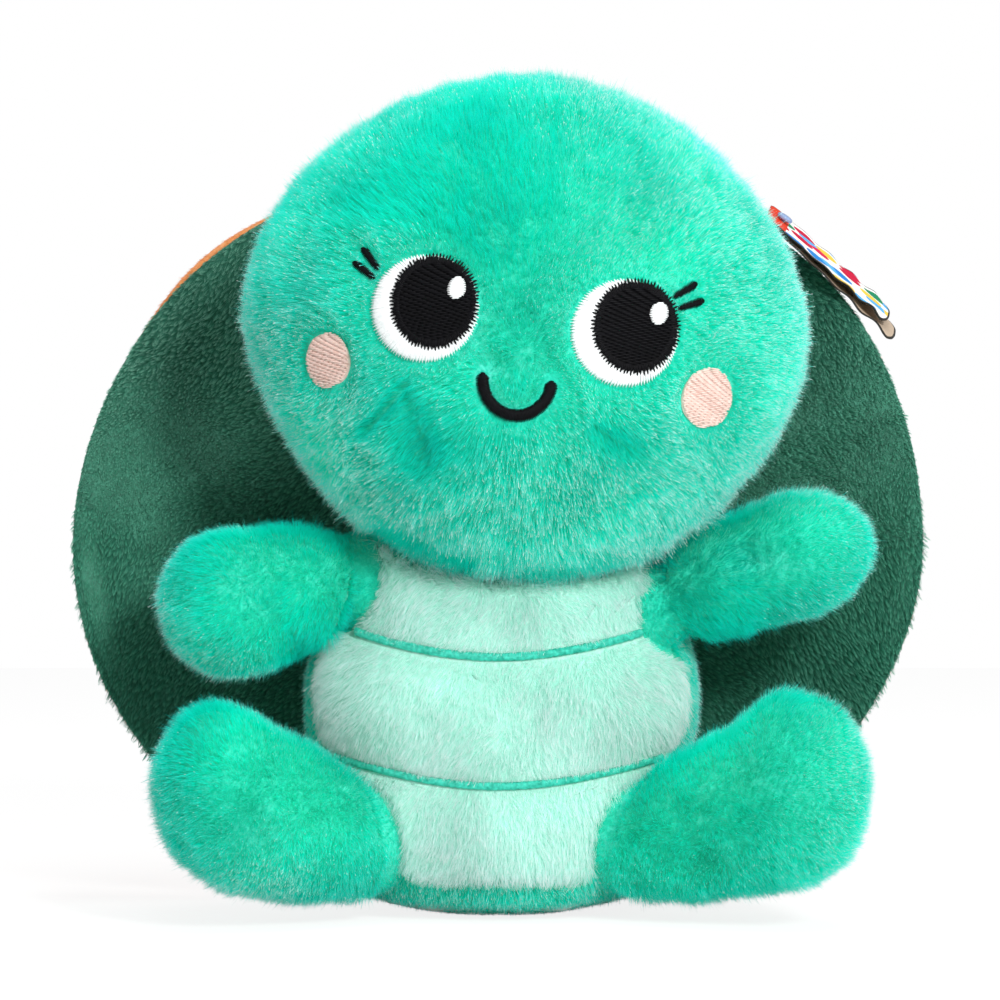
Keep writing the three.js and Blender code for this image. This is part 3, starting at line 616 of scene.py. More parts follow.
def face_sheen_and_shade(points, normals):
    """The pile round the eyes is combed up by the stitches, so more of its pale tips show there. Painted
    sheen lies on the tips, with painted shade in the creases and patches of painted shade and painted
    highlight.
    """
    distance, _ = off_embroidery(points)
    crease = np.clip(creased(points)[1], 0, 1)
    near = np.exp(-np.clip(distance, 0, 1) / (5 * MM)) * (1 + normals[:, 2])
    own = head_form.own(points)
    nap = tip_patch_change(own, face_nap_and_painted_light) * (own[:, 1] < 0)
    panel = 0.14 * np.tanh((own[:, 0] - 2.5 * MM) / (3 * MM)) * np.clip(own[:, 2] / (20 * MM) + 0.5, 0, 1)
    # Painted shade in the creases: the painted sheen is taken off there, and the pile is darkened.
    shows = painted_tip_sheen(points, normals) * (1 - 0.8 * crease) + 0.45 * near + panel + nap - 0.4 * crease
    return np.clip(shows, -1, 1)


# Soft tufts of the long pile
tuft_length, tuft_height = 4.5 * MM, 0.4 * MM
head_points, head_normals, head_faces = stuffed_skin(head_form, fineness=6)
head_points = tufted(head_points, head_normals, tuft_length, tuft_height, seed=3)
head_points -= head_normals * creased(head_points)[0][:, None]
head_skin = new_piece("head_skin", head_points, head_faces, teal_cloth, "head", "teal_plush", "head")
grow_pile(head_skin, teal_fibre, length=5.0 * MM, per_mm2=7.0, width=0.07 * MM, stand=0.84, comb=comb_face,
          seed=40, trim=trim_face, pale=face_sheen_and_shade, painted_glint_share=0.12, stray=0.16)

# Embroidery
# Eyes, lashes, cheeks and mouth are stitched into the head's front with shiny polyester thread. Wide
# shapes are filled with rows of short stitches, and narrow ones with satin stitches that run across.
thread_pitch = 0.42 * MM
thread_width, thread_height = 0.5 * MM, 0.36 * MM
rng = np.random.default_rng(7)


def on_face(flat, lift):
    """Places on the front of the head, by places across and up it and by height over the cloth."""
    start = np.stack([face_shift + flat[:, 0], np.zeros(len(flat)), flat[:, 1]], 1)
    ahead = np.tile([0.0, -1.0, 0.0], (len(flat), 1))
    own = start + ahead * head_form.reach(start, ahead)[:, None]
    out = head_form.outward(own)
    return head_form.place(own + out * np.reshape(lift, (-1, 1))), head_form.turn(out)


def thread_bars(lines, normals, width, height, end_share):
    """Each line of points becomes one closed round-backed bar that narrows at both ends."""
    count, steps, _ = lines.shape
    along = np.gradient(lines, axis=1)
    side = np.cross(along, normals)
    side /= np.maximum(np.linalg.norm(side, axis=2), 1e-12)[:, :, None]
    swell = np.ones(steps)
    swell[[0, -1]] = end_share
    around = np.arange(6) * math.pi / 3
    flat = np.cos(around)[None, None, :, None] * swell[None, :, None, None] * width / 2
    tall = np.sin(around)[None, None, :, None] * swell[None, :, None, None] * height / 2
    ring = lines[:, :, None] + side[:, :, None] * flat + normals[:, :, None] * tall
    faces = []
    for bar in range(count):
        first = bar * steps * 6
        faces.append(tuple(range(first, first + 6)))
        faces.append(tuple(range(first + steps * 6 - 1, first + steps * 6 - 7, -1)))
        for step in range(steps - 1):
            a = first + step * 6
            faces += [(a + i, a + 6 + i, a + 6 + (i + 1) % 6, a + (i + 1) % 6) for i in range(6)]
    return ring.reshape(-1, 3), faces


def stitches_on_face(lines, base, bow, end_share=0.5, width=thread_width):
    """Threads over the face from lines of places across and up. Each bows over its base height."""
    count, steps, _ = lines.shape
    rise = base + bow * np.sin(np.linspace(0, math.pi, steps))
    points, normals = on_face(lines.reshape(-1, 2), np.tile(rise, count))
    return thread_bars(points.reshape(lines.shape[:2] + (3,)), normals.reshape(lines.shape[:2] + (3,)), width,
                       thread_height, end_share)


def disc_grid(rings, around):
    """The share of the way out and the angle of a disc's points: its middle, then its rings."""
    share, angle = np.meshgrid(np.arange(1, rings + 1) / rings, np.arange(around) / around * 2 * math.pi,
                               indexing="ij")
    return np.append(0, share.ravel()), np.append(0, angle.ravel())


def lens_faces(rings, around, shared_rim=False):
    """The faces of a closed lens of two discs, which are joined by a rim or share their last ring."""
    count, faces = 1 + rings * around, []
    for i in range(around):
        j = (i + 1) % around
        faces += [(0, 1 + j, 1 + i), (count, count + 1 + i, count + 1 + j)]
        for ring in range(rings - 1):
            a, b = 1 + ring * around + i, 1 + ring * around + j
            outer = around + (0 if shared_rim and ring == rings - 2 else count)
            faces += [(a, b, b + around, a + around), (count + a, outer + a, outer + b, count + b)]
        a, b = 1 + (rings - 1) * around + i, 1 + (rings - 1) * around + j
        if not shared_rim:
            faces.append((a, b, count + b, count + a))
    return faces


def turned_over(faces):
    return [face[::-1] for face in faces]


def stitched_ground(centre, half, tilt, top):
    """The layer of underlay stitches below a filled oval: a thin closed lens laid on the cloth."""
    rings, around = 8, 56
    share, angle = disc_grid(rings, around)
    flat = centre + turned(np.stack([np.cos(angle), np.sin(angle)], 1) * share[:, None] * half * 0.97, tilt)
    upper, _ = on_face(flat, 0.15 * MM + top * np.sqrt(1 - 0.9 * share ** 4))
    lower, _ = on_face(flat, np.full(len(flat), -0.3 * MM))
    return np.concatenate([upper, lower]), turned_over(lens_faces(rings, around))


def joined(*parts):
    points, faces, first = [], [], 0
    for part_points, part_faces in parts:
        points.append(part_points)
        faces += [tuple(first + i for i in face) for face in part_faces]
        first += len(part_points)
    return np.concatenate(points), faces


def across_lines(starts, ends, steps):
    share = np.linspace(0, 1, steps)[None, :, None]
    return starts[:, None] * (1 - share) + ends[:, None] * share


def radial_satin(centre, half, inner_centre, inner_half, inner_share, base, bow, tooth, end_share, pitch):
    """Satin stitches out to an oval's edge from an inner oval. Every other one stops a tooth short."""
    count = 2 * int(math.pi * half.mean() / pitch)
    angle = (np.arange(count) + rng.uniform(-0.2, 0.2, count)) * 2 * math.pi / count
    short = tooth * (np.arange(count) % 2) + rng.uniform(-0.35, 0.35, count) * tooth
    reach = 1 + (0.7 * tooth - short) / half.mean()
    outer = centre + np.stack([np.cos(angle), np.sin(angle)], 1) * half * reach[:, None]
    offset = (outer - inner_centre) / inner_half
    offset *= np.minimum(inner_share / np.linalg.norm(offset, axis=1), 1)[:, None]
    return stitches_on_face(across_lines(inner_centre + offset * inner_half, outer, 7), base, bow, end_share)


def filled_rows(centre, half, tilt, stitch, base, wave):
    """Rows of short stitches across an oval, each row set on from the one below like bricks."""
    lines = []
    for number, up in enumerate(np.arange(-half[1] + thread_pitch / 2, half[1], thread_pitch)):
        reach = half[0] * math.sqrt(1 - (up / half[1]) ** 2)
        at = -reach - stitch * ((number * 0.37) % 1)
        while at < reach:
            start, end = max(at, -reach), min(at + stitch - 0.12 * MM, reach)
            if end - start > 0.5 * MM:
                across = np.linspace(start, end, 4)
                bend = wave * np.sin(across / (2.2 * MM) + 0.35 * number)
                lines.append(np.stack([across, up + bend], 1))
            at += stitch
    return stitches_on_face(centre + turned(np.array(lines), tilt), base, 0.1 * MM)


def stitched_piece(name, parts, thread, slot):
    points, faces = joined(*parts)
    return new_piece(name + "_stitches", points, faces, thread, "head", slot, name)


def lumpy_material(name, deep, pale, shades, grain, bump, finish):
    """A material of two close shades, spread by one noise and roughened by another or by the same."""
    material, tree = new_material(name)
    place = {"Vector": add(tree, "ShaderNodeTexCoord").outputs["Object"]}
    shade = add(tree, "ShaderNodeTexNoise", shades, place)
    rough = add(tree, "ShaderNodeTexNoise", grain, place) if grain else shade
    colour = add(tree, "ShaderNodeValToRGB", links={"Fac": shade}, stops=((0.3, deep), (0.7, pale)))
    relief = add(tree, "ShaderNodeBump", bump, {"Height": rough})
    surface = add(tree, "ShaderNodeBsdfPrincipled", finish, {"Base Color": colour, "Normal": relief})
    finish_material(tree, surface)
    return material


def polyester_thread(name, deep, pale, roughness, gloss):
    """Twisted polyester thread: a soft sheen along each stitch, and stitches a little unlike each other. Its
    twist of 0.22 mm is finer than the render shows, and only softens the gloss."""
    return lumpy_material(name, deep, pale, {"Scale": 1 / (1.1 * MM), "Detail": 2.0},
                          {"Scale": 1 / (0.22 * MM), "Detail": 1.0}, {"Strength": 0.35, "Distance": 0.1 * MM},
                          {"Roughness": roughness, "Specular IOR Level": gloss})


white_thread = polyester_thread("white_polyester_thread", "#eef2f2", "#fdffff", 0.5, 0.2)
black_thread = polyester_thread("black_polyester_thread", "#040406", "#0d0d11", 0.6, 0.12)
blush_thread = polyester_thread("blush_polyester_thread", "#efcabd", "#fadfd6", 0.6, 0.15)
white_base, pupil_base, glint_base = 0.6 * MM, 1.25 * MM, 1.75 * MM

for side in ("left", "right"):
    eye, _, _ = ovals["eye_white_" + side]
    pupil, _, _ = ovals["pupil_" + side]
    glint, _, _ = ovals["eye_glint_" + side]
    stitched_piece("eye_white_" + side, [
        stitched_ground(eye, eye_half, tilt=0, top=0.5 * MM),
        radial_satin(eye, eye_half, pupil, pupil_half, inner_share=0.86, base=white_base, bow=0.55 * MM,
                     tooth=0.45 * MM, end_share=0.3, pitch=0.4 * MM)], white_thread, "white_thread")
    stitched_piece("pupil_" + side, [
        stitched_ground(pupil, pupil_half * 0.97, tilt=0, top=1.0 * MM),
        filled_rows(pupil, pupil_half * 0.9, math.radians(4), stitch=3.4 * MM, base=pupil_base, wave=0),
        radial_satin(pupil, pupil_half, pupil, pupil_half, inner_share=0.8, base=pupil_base, bow=0.25 * MM,
                     tooth=0.85 * MM, end_share=0.1, pitch=0.46 * MM)], black_thread, "black_thread")
    rows = int(2 * glint_half[1] / thread_pitch)
    up = (np.arange(rows) + 0.5) / rows * 2 - 1
    reach = np.sqrt(1 - up ** 2) * glint_half[0] + rng.uniform(-0.1, 0.2, rows) * MM
    ends = np.stack([reach, up * glint_half[1] + 0.15 * MM], 1)
    starts = np.stack([-reach, up * glint_half[1] - 0.15 * MM], 1)
    stitched_piece("eye_glint_" + side, [
        stitches_on_face(glint + across_lines(starts, ends, 6), base=glint_base, bow=0.3 * MM)],
        white_thread, "white_thread")
    cheek, cheek_half, tilt = ovals["cheek_" + side]
    stitched_piece("cheek_" + side, [
        stitched_ground(cheek, cheek_half, tilt, top=0.45 * MM),
        filled_rows(cheek, cheek_half, tilt * 0.2, stitch=3.0 * MM, base=0.7 * MM, wave=0.18 * MM)],
        blush_thread, "blush_thread")


def satin_column(middles, across, half_widths, base, bow):
    """Satin stitches across a narrow shape, from its middle line, its crossways directions and its width."""
    ragged = rng.uniform(-0.12, 0.12, (2, len(middles), 1)) * MM
    starts = middles - across * (half_widths[:, None] + ragged[0])
    ends = middles + across * (half_widths[:, None] + ragged[1])
    return stitches_on_face(across_lines(starts, ends, 5), base, bow, 0.4)


for name in lash_shares:
    lash, half, tilt = ovals["lash_" + name]
    share = np.linspace(-1, 1, int(2 * half[0] / thread_pitch))
    thick = half[1] * (1.3 + 0.2 * share) * np.sqrt(1 - 0.8 * np.abs(share) ** 6)
    middles = lash + turned(np.stack([share * half[0] * 0.93, 0 * share], 1), tilt)
    across = turned(np.stack([0.3 + 0 * share, 1 + 0 * share], 1), tilt)
    stitched_piece("lash_" + name, [satin_column(middles, across, thick, base=0.5 * MM, bow=0.4 * MM)],
                   black_thread, "black_thread")

mouth_stitches = int(2 * mouth_half_arc * mouth_half_width / (0.36 * MM))
mouth_turns = np.linspace(-mouth_half_arc, mouth_half_arc, mouth_stitches)
outward = unit(np.stack([np.sin(mouth_turns), -np.cos(mouth_turns)], 1))
to_end = (mouth_half_arc - np.abs(mouth_turns)) * mouth_half_width
thick = mouth_stroke * 0.52 * np.sqrt(np.clip(1 - (1 - np.clip(to_end / (1.3 * MM), 0, 1)) ** 2, 0.15, 1))
stitched_piece("mouth", [satin_column(mouth_line(mouth_turns), outward, thick, base=0.5 * MM, bow=0.45 * MM)],
               black_thread, "black_thread")

# Torso
# A smaller stuffed body of the same plush, sewn to the front of the shell. A bag of pellets lies in its
# seat, so its bottom is flat.
torso_half = np.array([54.5, 37, 118]) * MM
torso_shares = [([0, 0, 0.26], [0.9, 0.94, 0.33]), ([0.02, 0, 0.52], [0.96, 0.97, 0.36]),
                ([0.03, 0.02, 0.78], [0.78, 0.78, 0.32])]
torso_lobes = scaled(torso_shares, torso_half)
torso_heart = (0, 0, 47.2 * MM)
shell_front = 34 * MM
layer_gap = 0.3 * MM
upright = np.eye(4)
open_torso = StuffedForm(upright, torso_lobes, torso_heart)
torso_form = StuffedForm(upright, torso_lobes, torso_heart, [
    lambda points, inset: points[:, 2] > inset,
    lambda points, inset: points[:, 1] < shell_front - layer_gap - inset,
    clear_of_head])

# Belly panel, whose size the body's pile makes room for
belly_top, belly_bottom = 105 * MM, 12 * MM
belly_puff, belly_gap, belly_seam_gap = 2.6 * MM, 0.4 * MM, 0.9 * MM
belly_spread = math.radians(76)
belly_spread_shares = [0.5, 0.78, 0.94, 1, 1, 0.97, 0.9]
line_heights, line_sag = (38 * MM, 72.5 * MM), 12 * MM
line_width, line_thickness = 2.2 * MM, 1.2 * MM
groove_width = 7 * MM


def belly_spread_at(heights):
    share = np.clip((heights - belly_bottom) / (belly_top - belly_bottom), 0, 1)
    return belly_spread * np.interp(share, np.linspace(0, 1, len(belly_spread_shares)), belly_spread_shares)


def under_belly(points):
    """Whether places on the body lie under the belly panel."""
    angle = np.abs(np.arctan2(points[:, 0], -points[:, 1]))
    return (angle < belly_spread_at(points[:, 2]) - 0.03) & (points[:, 2] > belly_bottom + 1.5 * MM)


def comb_down(points):
    return np.tile([0.0, 0.15, -1.0], (len(points), 1))


def trim_torso(points, normals):
    """The pile is pressed short at the seat and at the shell, and none grows under the belly panel."""
    share = np.where(points[:, 1] > shell_front - 4 * MM, 0.3, 1.0)
    share = share * np.clip(0.3 + points[:, 2] / (14 * MM), 0.3, 1)
    share = np.where(points[:, 2] < 1 * MM, 0.0, share)
    return np.where(under_belly(points) | (normals[:, 1] > 0.9), 0, share)


def torso_painted_light(points, normals):
    """Painted highlight on the strip of the body below the belly panel, paler towards the seat, over the
    painted sheen of the tips.
    """
    return np.clip(painted_tip_sheen(points, normals) + 0.5 * np.clip((16 * MM - points[:, 2]) / (8 * MM), 0, 1), 0, 1)


torso_points, _, torso_faces = stuffed_skin(torso_form, fineness=5)
seat_rise = 4.5 * MM * (torso_points[:, 0] / (30 * MM)) ** 2
seat_rise += 4 * MM * (np.minimum(torso_points[:, 1], 0) / (21 * MM)) ** 2
torso_points[:, 2] = np.maximum(torso_points[:, 2], np.minimum(seat_rise, 9 * MM))
torso_skin = new_piece("torso_skin", torso_points, torso_faces, teal_cloth, "root", "teal_plush", "torso")
grow_pile(torso_skin, teal_fibre, length=4.2 * MM, per_mm2=5.6, width=0.08 * MM, stand=0.7, comb=comb_down,
          seed=90, trim=trim_torso, pale=torso_painted_light)

# Arms and legs
# Four stuffed limbs of the same plush. Each is sewn round its root to the body, and the seam lets it
# swing. The feet turn up at their ends.
limb_clearance = 1.8 * MM
arm_forward, leg_place, leg_root_radius, calf_thickness, leg_lift = -9, (37, -19, 24), 16.5, 37, 13.5
arm_shares = [([0.42, 0, 0.04], [0.38, 0.9, 0.92]), ([0.69, 0, 0], [0.3, 0.95, 0.98])]
leg_shares = [([0.29, 0, -0.12], [0.34, 0.96, 0.98]), ([0.52, 0, -0.05], [0.28, 0.98, 1.08])]
foot_shares = [([0.73, 0, 0.1], [0.25, 0.74, 1])]
arm_swing = [math.radians(a) for a in (0, -10, 22)]
leg_swing = [math.radians(a) for a in (0, -10, 12)]


def limb_form(pivot, root_radius, turn, lift, side, lobes, heart, swings):
    """A limb, whose root turns in the body, and which keeps clear of body and head however it swings.
    Its pivot is in mm."""
    pivot = np.array(pivot) * MM
    facing = turn if side > 0 else math.pi - turn
    placing = Matrix.Translation(pivot) @ Matrix.Rotation(facing, 4, "Z") @ Matrix.Rotation(-lift, 4, "Y")
    root = (np.zeros(3), np.full(3, root_radius), 0.0, oval)

    def keep(points, inset):
        near_root = np.linalg.norm(points - pivot, axis=1) < root_radius - inset
        clear = np.ones(len(points), bool)
        for swing in swings:
            turned_by = np.array(Matrix.Rotation(-side * swing, 3, "Z"))
            swung = (points - pivot) @ turned_by.T + pivot
            clear &= ~open_torso.holds_placed(swung, -belly_puff - belly_gap - limb_clearance - inset)
            clear &= clear_of_head(swung, inset)
        return near_root | clear

    return StuffedForm(placing, [root] + lobes, (heart, 0, 0), [keep])


def arm(side, spread, height, root_radius, length, thickness, turn, lift):
    """An arm, from sizes in mm and angles in degrees."""
    half = np.array([length, thickness / 2, thickness / 2]) * MM
    return limb_form((side * spread, arm_forward, height), root_radius * MM, math.radians(turn),
                     math.radians(lift), side, scaled(arm_shares, half), 0.34 * length * MM, arm_swing)


def leg(side, length, turn, foot_height, foot_tilt):
    """A leg with its foot, from sizes in mm and angles in degrees."""
    calf = scaled(leg_shares, np.array([length, calf_thickness / 2, calf_thickness / 2]) * MM)
    foot_half = np.array([length, foot_height / 2, foot_height / 2]) * MM
    foot = scaled(foot_shares, foot_half, math.radians(foot_tilt))
    spread, forward, height = leg_place
    return limb_form((side * spread, forward, height), leg_root_radius * MM, math.radians(turn),
                     math.radians(leg_lift), side, calf + foot, 0.32 * length * MM, leg_swing)


limbs = {
    "arm_left": arm(1, spread=41, height=85, root_radius=13, length=64.5, thickness=30.5, turn=-8, lift=20),
    "arm_right": arm(-1, spread=37, height=91, root_radius=14.5, length=57.5, thickness=36.5, turn=-24,
                     lift=-5.5),
    "leg_left": leg(1, length=71, turn=-30, foot_height=48.5, foot_tilt=15),
    "leg_right": leg(-1, length=66.5, turn=-38, foot_height=44, foot_tilt=20)}

# Where the stuffing is drawn in on the front of a limb: place seen from the front, reach and depth in mm
dimples = {"arm_right": [((-64, 87.5), 6, 2.6), ((-54, 76), 5, 1.6)], "arm_left": [((70.5, 100), 6.5, 2.4)],
           "leg_left": [((84, 62), 7, 1.6)], "leg_right": [((-70, 64), 8, 1.2)]}

# Patches of painted sheen on a limb's pile tips: middle seen from the front, half sizes in mm and change
limb_sheen_patches = {"leg_left": [((92, 44), (18, 24), 1.0)],
           "leg_right": [((-63, 16), (13, 9), 1.1), ((-99, 36), (9, 30), 0.8)],
           "arm_left": [((88, 112), (16, 8), 0.6)],
           "arm_right": [((-94, 84), (10, 12), 0.7), ((-84, 70), (18, 7), 0.7)]}


def dimpled(name, points, normals):
    """How far each place of a limb is drawn in, and which way its dimple lies."""
    deep, towards = np.zeros(len(points)), np.zeros((len(points), 3))
    for (across, up), reach, depth in dimples[name]:
        offset = np.array([across, 0, up]) * MM - points * [1, 0, 1]
        near = np.exp(-(np.linalg.norm(offset, axis=1) / (reach * MM)) ** 2) * (normals[:, 1] < 0)
        deep += depth * MM * near
        towards += unit(offset) * near[:, None]
    return deep, towards


def limb_painted_sheen(points, normals):
    """The limbs' pile lies flat, so its tips get less painted sheen than elsewhere, and more towards the ends
    and edges.
    """
    outward = np.clip((np.abs(points[:, 0]) - 78 * MM) / (22 * MM), 0, 1)
    return np.clip(0.6 * painted_tip_sheen(points, normals) - 0.2 + 0.3 * outward, 0, 0.6)


def dress_limb(number, name, form):
    """One limb's skin and its pile. Each limb has its own random draws."""
    root, along = form.placing[:3, 3], form.placing[:3, 0]

    def comb(points):
        """The pile of a limb lies towards its end and a little down, and into its dimples."""
        _, towards = dimpled(name, points, np.tile([0.0, -1.0, 0.0], (len(points), 1)))
        return 0.6 * unit(points - root) + 0.3 * along + [0, 0, -0.25] + 0.9 * towards

    def trim(points, normals):
        """The pile is pressed short next to the body and in the dimples."""
        by_body = open_torso.holds_placed(points, -6.5 * MM)
        deep, _ = dimpled(name, points, normals)
        return np.where(by_body, 0.45, 1.0) * (1 - 0.45 * np.clip(deep / (2 * MM), 0, 1))

    def pale(points, normals):
        """Painted shade in the dimples and on an arm next to the body, and patches of painted sheen where
        listed.
        """
        deep, _ = dimpled(name, points, normals)
        # Painted shade on an arm next to the body, where shade falls from the head and body.
        pressed = np.clip(1.8 - np.linalg.norm(points - root, axis=1) / (22 * MM), 0, 1)
        pressed = pressed * name.startswith("arm")
        up = tip_patch_change(points, limb_sheen_patches[name]) * (normals[:, 1] < 0.2)
        return limb_painted_sheen(points, normals) + up - 0.8 * pressed - np.clip(deep / (2 * MM), 0, 1)

    points, normals, faces = stuffed_skin(form, fineness=5)
    points = tufted(points, normals, tuft_length, tuft_height, seed=5 + number)
    points -= normals * dimpled(name, points, normals)[0][:, None]
    skin = new_piece(name + "_skin", points, faces, teal_cloth, name, "teal_plush", name)
    grow_pile(skin, teal_fibre, length=4.6 * MM, per_mm2=6.6, width=0.07 * MM, stand=0.8, comb=comb,
              seed=200 + 50 * number, trim=trim, pale=pale)


for number, (name, form) in enumerate(limbs.items()):
    dress_limb(number, name, form)

# Belly panel
# One panel of paler plush with a shorter pile, sewn over the front of the body. Two lines of satin
# stitch draw it in, so that the filling puffs it out in three bands.
mint_cloth = plush_cloth("mint_plush_cloth", "#8fdcc6", "#b2ecdb", "#d2f6ea", 1.8 * MM)
# The fibre's last colour is the pale colour of its painted sheen.
mint_fibre = pile_fibre("mint_polyester_fibre", "#d0fff4", "#ecfffd", "#fcffff", "#ffffff")


def around_torso(angles, heights, lift):
    """Places round the front of the body, by angle from straight ahead and by height."""
    axis = np.stack([np.zeros(len(angles)), np.zeros(len(angles)), heights], 1)
    rays = np.stack([np.sin(angles), -np.cos(angles), np.zeros(len(angles))], 1)
    points = axis + rays * open_torso.reach(axis, rays)[:, None]
    return points + open_torso.outward(points) * np.reshape(lift, (-1, 1))


def line_height(level, angles):
    return line_heights[level] + line_sag * (1 - np.cos(angles))


def belly_thickness(angles, heights):
    nearest = np.min([np.abs(heights - line_height(level, angles)) for level in (0, 1)], 0)
    puff = 1 - np.exp(-((nearest / groove_width) ** 2))
    return line_thickness + (belly_puff - line_thickness) * puff


def before_seam(angles, points, seam_gap):
    """The last angle before places round the body come within a gap of a limb's seam."""
    meets = np.zeros(len(angles), bool)
    for form in limbs.values():
        root_radius = form.lobes[0][1][0]
        meets |= np.linalg.norm(points - form.placing[:3, 3], axis=1) < root_radius + seam_gap
    return angles[max(np.argmax(meets), 1) if meets.any() else len(angles) - 1]


def belly_sides(height):
    """How far the panel runs to either side at a height, before it meets a limb's seam."""
    angles = np.linspace(0, belly_spread_at(height), 60)
    return [side * before_seam(angles, around_torso(side * angles, np.full(60, height), belly_puff),
                               belly_seam_gap) for side in (-1, 1)]


def belly_panel(columns, rows):
    """The front and back of the panel as grids of points. Its top is cut to clear the head, and its edges
    are turned in."""
    heights = np.linspace(belly_bottom, belly_top, rows)
    edges = np.array([belly_sides(height) for height in heights])
    share = np.linspace(0, 1, columns)[None]
    angles = edges[:, :1] * (1 - share) + edges[:, 1:] * share
    levels = np.repeat(heights[:, None], columns, 1)
    for column in range(columns):
        clear = clear_of_head(around_torso(angles[:, column], levels[:, column], belly_puff), 0)
        cut = heights[clear].max() - belly_bottom
        levels[:, column] = belly_bottom + (heights - belly_bottom) * cut / (belly_top - belly_bottom)
    angles, levels = angles.ravel(), levels.ravel()
    rim = np.minimum(share, 1 - share) * columns
    ends = np.minimum(np.arange(rows), rows - 1 - np.arange(rows))[:, None]
    edge_fall = np.sqrt(np.clip(np.minimum(rim, ends) / 4, 0, 1)).ravel()
    front = around_torso(angles, levels, belly_gap + belly_thickness(angles, levels) * edge_fall)
    back = around_torso(angles, levels, np.full(len(angles), belly_gap - 0.2 * MM))
    return front, back


def slab_faces(columns, rows):
    """The faces of a closed slab whose front and back are grids of points."""
    faces = []
    back = columns * rows
    for row in range(rows - 1):
        for column in range(columns - 1):
            a = row * columns + column
            faces.append((a, a + 1, a + columns + 1, a + columns))
            faces.append((back + a, back + a + columns, back + a + columns + 1, back + a + 1))
    ring = list(range(columns))
    ring += [row * columns + columns - 1 for row in range(1, rows)]
    ring += [(rows - 1) * columns + column for column in range(columns - 2, -1, -1)]
    ring += [row * columns for row in range(rows - 2, 0, -1)]
    for a, b in zip(ring, ring[1:] + ring[:1]):
        faces.append((a, back + a, back + b, b))
    return faces


def comb_belly(points):
    """The belly's pile lies down and a little out to either side."""
    return np.stack([points[:, 0] / (160 * MM) - 0.15, np.zeros(len(points)), np.full(len(points), -1.0)], 1)


def trim_belly(points, normals):
    """The pile is drawn in along the lines, most just above them, and stands up under the chin."""
    angles = np.arctan2(points[:, 0], -points[:, 1])
    over = np.array([points[:, 2] - line_height(level, angles) for level in (0, 1)])
    nearest = np.abs(over).min(0)
    share = 0.6 + 0.4 * np.clip((nearest - line_width / 2) / (5 * MM), 0, 1)
    share = share * (1 + 0.3 * np.clip((points[:, 2] - 92 * MM) / (8 * MM), 0, 1))
    above = np.where(over > 0, over, 1).min(0)
    share = share * (0.5 + 0.5 * np.clip(above / (4.5 * MM), 0, 1))
    return np.where((nearest < line_width / 2) | (normals[:, 1] > 0.1), 0, share)


belly_columns, belly_rows = 90, 84
belly_front, belly_back = belly_panel(belly_columns, belly_rows)
belly_skin = new_piece("belly_skin", np.concatenate([belly_front, belly_back]),
                       slab_faces(belly_columns, belly_rows), mint_cloth, "root", "mint_plush", "belly_panel")
grow_pile(belly_skin, mint_fibre, length=4.0 * MM, per_mm2=7.0, width=0.07 * MM, stand=0.62, comb=comb_belly,
          seed=600, trim=trim_belly, painted_glint_share=0.1)

# Belly lines
# Two cords of slanted satin stitch in turquoise thread, sewn through the belly panel along its creases.
teal_thread = polyester_thread("teal_polyester_thread", "#1da68e", "#49dcc4", 0.45, 0.3)
line_pitch, line_slant = 0.44 * MM, 0.8 * MM
line_reach_share, line_seam_gaps = 0.97, (1.5 * MM, 3.5 * MM)


def on_belly(angles, heights, lift):
    flat_angles, flat_heights = np.ravel(angles), np.ravel(heights)
    base = belly_gap + belly_thickness(flat_angles, flat_heights) + layer_gap / 2
    points = around_torso(flat_angles, flat_heights, base + np.ravel(lift))
    return points, open_torso.outward(points)


def line_end(level, side):
    """How far round the body a line runs on one side, before it meets a limb's seam."""
    angles = np.linspace(0, belly_spread_at(line_heights[level]) * line_reach_share, 120)
    points = around_torso(side * angles, line_height(level, angles), belly_puff)
    return side * before_seam(angles, points, line_seam_gaps[level])


for level, name in enumerate(("belly_line_lower", "belly_line_upper")):
    ends = [line_end(level, side) for side in (-1, 1)]
    count = int((ends[1] - ends[0]) * torso_half[0] * 0.9 / line_pitch)
    middle = np.linspace(ends[0], ends[1], count)[:, None]
    share = np.linspace(-1, 1, 6)[None]
    angles = middle + share * line_slant / 2 / torso_half[0]
    heights = line_height(level, angles) - share * line_width / 2 * (1 + rng.uniform(-0.06, 0.06, (count, 1)))
    lift = np.broadcast_to(line_thickness * 0.75 * np.sqrt(1 - 0.85 * share ** 2), angles.shape)
    points, normals = on_belly(angles, heights, lift)
    stitches = thread_bars(points.reshape(count, 6, 3), normals.reshape(count, 6, 3), 0.5 * MM, 0.4 * MM, 0.5)
    core_heights = line_height(level, middle[:, 0])
    core_points, core_normals = on_belly(middle[:, 0], core_heights, np.full(count, 0.2 * MM))
    core = thread_bars(core_points[None], core_normals[None], 1.8 * MM, 0.9 * MM, 0.5)
    points, faces = joined(stitches, core)
    new_piece(name + "_stitches", points, faces, teal_thread, "root", "teal_thread", name)

# Shell
# A big oval cushion behind the turtle. Its front is a dish of short-pile dark green plush that the body
# is sewn to, and its back is a dome of orange plush, quilted in a middle panel and a ring of panels.
shell_half_width, shell_rise, shell_drop, shell_middle = 120 * MM, 108.5 * MM, 108.5 * MM, 106 * MM
upper_squareness, lower_squareness, shell_skew = 2.28, 2.03, 0.15
shell_lean, lean_from, lean_to = 33 * MM, 92 * MM, 165 * MM
shell_curl, shell_flat_share, rim_radius, rim_sharpness = 34 * MM, 0.3, 7 * MM, 6
shell_apex, quilt_panels, quilt_ring_share = 69 * MM, 6, 0.64
quilt_depth, quilt_width = 2.6 * MM, 7 * MM
cloth_thickness = 1.6 * MM
# Where the orange back stands out past the green front, as the photograph shows at the upper left
orange_at, orange_run, orange_stand = math.radians(133), math.radians(13), 2.0 * MM

